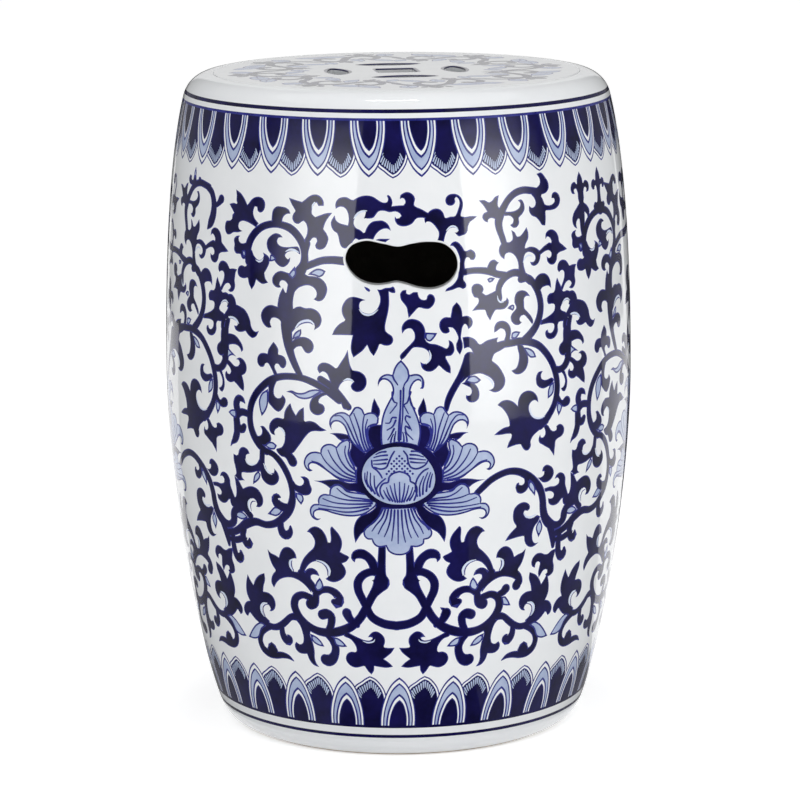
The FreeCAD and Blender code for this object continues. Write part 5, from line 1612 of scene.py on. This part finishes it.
# %% The floor and the room
FLOOR_HALF = 12.0
FLOOR_GLOW = 0.50
FLOOR_PAINT = {
    "Base Color": (0.9, 0.9, 0.9, 1),
    "Roughness": 0.9,
    "Specular IOR Level": 0.0,
    "Emission Color": (1, 1, 1, 1),
}
ROOM_LIGHT = 0.56
FLAG_REACH, FLAG_NEAR, FLAG_TALL = 1.9, 0.134, 3.0
FLOOR_LEVEL, BACK_RISE = 0.004, 0.5
FLAGS = [
    ("flag_left", -134, -22, FLOOR_LEVEL, 0.20, 0.20),
    ("flag_middle", -22, 30, FLOOR_LEVEL, 0.01, 0.01),
    ("flag_right", 30, 114, FLOOR_LEVEL, 0.22, 0.22),
    ("flag_far_right", 114, 143, FLOOR_LEVEL, None, 0.2),
    ("flag_back_right", 143, 165, BACK_RISE, 0.03, 0.2),
    ("flag_back", 165, 195, BACK_RISE, 0.03, 0.68),
    ("flag_back_left", 195, 206, BACK_RISE, 0.03, 0.2),
    ("flag_far_left", 206, 226, FLOOR_LEVEL, None, 0.2),
]


def sheet_of(name, corners, faces, material):
    mesh = bpy.data.meshes.new(name)
    mesh.from_pydata(corners, [], faces)
    mesh.materials.append(material)
    sheet = bpy.data.objects.new(name, mesh)
    bpy.context.scene.collection.objects.link(sheet)
    sheet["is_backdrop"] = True
    return sheet


def math_node(nodes, links, operation, first, second):
    node = nodes.new("ShaderNodeMath")
    node.operation = operation
    links.new(first, node.inputs[0])
    if isinstance(second, float):
        node.inputs[1].default_value = second
    else:
        links.new(second, node.inputs[1])
    return node.outputs["Value"]


def where_seen(nodes, links, unseen, seen):
    """One value for what the camera, a reflection or a clear material sees, else the other."""
    path = nodes.new("ShaderNodeLightPath")
    total = path.outputs["Is Camera Ray"]
    for way in ("Is Glossy Ray", "Is Transmission Ray"):
        total = math_node(nodes, links, "MAXIMUM", total, path.outputs[way])
    reach = set_inputs(nodes.new("ShaderNodeMapRange"), {"To Min": unseen, "To Max": seen})
    links.new(total, reach.inputs["Value"])
    return reach.outputs["Result"]


floor_white, nodes, links = new_material("floor_white")
shader = set_inputs(nodes["Principled BSDF"], FLOOR_PAINT)
links.new(where_seen(nodes, links, 0.0, FLOOR_GLOW), shader.inputs["Emission Strength"])
floor_corners = [(x * FLOOR_HALF, y * FLOOR_HALF, 0) for x, y in ((-1, -1), (1, -1), (1, 1), (-1, 1))]
sheet_of("floor", floor_corners, [(0, 1, 2, 3)], floor_white)

room = bpy.data.worlds.new("room")
bpy.context.scene.world = room
room.use_nodes = True
nodes, links = room.node_tree.nodes, room.node_tree.links
background = set_inputs(nodes["Background"], {"Color": (1, 1, 1, 1)})
links.new(where_seen(nodes, links, ROOM_LIGHT, 1.0), background.inputs["Strength"])


def glowing(name):
    """A material that only glows, with its nodes, its links and the glow's strength."""
    material, nodes, links = new_material(name)
    nodes.clear()
    glow = nodes.new("ShaderNodeEmission")
    links.new(glow.outputs["Emission"], nodes.new("ShaderNodeOutputMaterial").inputs["Surface"])
    return material, nodes, links, glow.inputs["Strength"]


def flag(name, start, end, inner, outer, strength):
    """A dark sheet between two bearings in degrees and two (distance, height) rims."""
    steps = max(2, round((end - start) / 4))
    bearings = np.radians(np.linspace(start, end, steps))
    places = [(r * math.sin(b), -r * math.cos(b), z) for r, z in (inner, outer) for b in bearings]
    faces = [(i, i + 1, steps + i + 1, steps + i) for i in range(steps - 1)]
    cloth, _, _, glow = glowing(name + "_cloth")
    glow.default_value = strength
    made = sheet_of(name, places, faces, cloth)
    made.visible_camera = False
    made.visible_diffuse = False
    made.visible_shadow = False
    made.visible_transmission = False


for name, start, end, rise, on_floor, upright in FLAGS:
    edge = (FLAG_REACH, rise)
    if on_floor is not None:
        flag(name + "_floor", start, end, (FLAG_NEAR, FLOOR_LEVEL), edge, on_floor)
    flag(name, start, end, edge, (FLAG_REACH, FLAG_TALL), upright)
print("flags:", [name for name, *_ in FLAGS])

# %% [markdown]
# ## Soft boxes and lamps
# The two upright veils of light on the blue are reflections of tall soft boxes left and
# right of the camera. A point on a round wall mirrors the direction at twice its own
# angle, so the edges of a veil tell where each box stands. Each is bright along its inner
# edge and fades out, so it is a glowing sheet with a ramp, and the camera doesn't see it.
# A small light from above draws the line on the shoulder, and two soft fills, in front and
# over the seat, lift the shade without showing in the glaze.

# %% The lamps
BOX_DISTANCE, BOX_LOW, BOX_TOP, BOX_STEPS = 1.15, 0.006, 0.84, 24
FADE_OUT = [(0.0, 1.0), (0.35, 0.95), (0.62, 0.5), (0.82, 0.12), (1.0, 0.0)]
FADE_UP = [(0.0, 0.5), (0.22, 0.95), (0.62, 1.0), (0.82, 0.35), (1.0, 0.0)]


def ramp_of(nodes, links, share, stops):
    """A curve of brightness over a share from 0 to 1, from its stops."""
    ramp = set_ramp(nodes.new("ShaderNodeValToRGB"), [(at, (level,) * 3) for at, level in stops])
    ramp.color_ramp.interpolation = "EASE"
    links.new(share, ramp.inputs["Fac"])
    return ramp.outputs["Color"]


def soft_box(name, inner, outer, strength):
    """An upright glowing sheet between two bearings in degrees from the front.

    The inner edge leans: its bearing differs at the floor and at the top."""
    material, nodes, links, glow = glowing(name + "_glow")
    parts = nodes.new("ShaderNodeSeparateXYZ")
    links.new(nodes.new("ShaderNodeUVMap").outputs["UV"], parts.inputs["Vector"])
    across = ramp_of(nodes, links, parts.outputs["X"], FADE_OUT)
    upwards = ramp_of(nodes, links, parts.outputs["Y"], FADE_UP)
    level = math_node(nodes, links, "MULTIPLY", across, upwards)
    links.new(math_node(nodes, links, "MULTIPLY", level, strength), glow)
    places, spread = [], []
    for row, (z, edge) in enumerate(zip((BOX_LOW, BOX_TOP), inner)):
        for share in np.linspace(0, 1, BOX_STEPS + 1):
            bearing = math.radians(edge + (outer - edge) * share)
            places.append((BOX_DISTANCE * math.sin(bearing), -BOX_DISTANCE * math.cos(bearing), z))
            spread.append((share, row))
    faces = [(i, i + 1, BOX_STEPS + i + 2, BOX_STEPS + i + 1) for i in range(BOX_STEPS)]
    sheet = sheet_of(name, places, faces, material)
    flat_map = sheet.data.uv_layers.new(name="shares")
    for loop in sheet.data.loops:
        flat_map.data[loop.index].uv = spread[loop.vertex_index]
    sheet.visible_camera = False
    sheet.visible_shadow = False


def lamp(name, place, aim, width, depth, power, glossy):
    data = bpy.data.lights.new(name, "AREA")
    data.shape = "RECTANGLE"
    data.size, data.size_y, data.energy = width, depth, power
    made = bpy.data.objects.new(name, data)
    made.location = place
    made.rotation_euler = (Vector(aim) - Vector(place)).to_track_quat("-Z", "Y").to_euler()
    made.visible_glossy = glossy
    bpy.context.scene.collection.objects.link(made)


soft_box("soft_box_left", (-22.5, -16.0), -72.0, 3.0)
soft_box("soft_box_right", (33.0, 28.0), 76.0, 4.2)
lamp("top_light", (-0.03, -0.13, 1.6), (-0.03, -0.13, 0.4), 0.34, 0.045, 1.3, True)
lamp("front_fill", (0.0, -2.4, 2.2), (0, 0, 0.2), 1.6, 1.2, 6.0, False)
lamp("seat_fill", (0.0, 0.0, 1.9), (0.0, 0.0, 0.46), 0.8, 0.7, 4.6, False)

# %% [markdown]
# ## The camera
# A long lens from a step away and slightly above: the seat shows as a thin ellipse and the
# sides stay nearly upright. The tilt and the tiny roll are read off the ellipse of the
# seat and the rings at the foot.

# %% Camera
CAMERA_PLACE = (0.000727, -2.5654, 0.7245)
CAMERA_TILT, CAMERA_ROLL = 0.1918, 0.0076
LENS, SENSOR = 166.2, 36.0
camera = bpy.data.objects.new("camera", bpy.data.cameras.new("camera"))
camera.data.lens = LENS
camera.data.sensor_width = SENSOR
camera.location = CAMERA_PLACE
camera.rotation_mode = "XYZ"
tilt = Vector((0, math.cos(CAMERA_TILT), -math.sin(CAMERA_TILT)))
aim = tilt.to_track_quat("-Z", "Y").to_matrix().to_4x4()
camera.rotation_euler = (aim @ Matrix.Rotation(-CAMERA_ROLL, 4, "Z")).to_euler()
bpy.context.scene.collection.objects.link(camera)
bpy.context.scene.camera = camera
bpy.context.scene.view_settings.view_transform = "Standard"

# %% Sizes, and the end
frame_low, frame_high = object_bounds()
print("visual box", [round(v / MM, 1) for v in frame_high - frame_low], "mm")
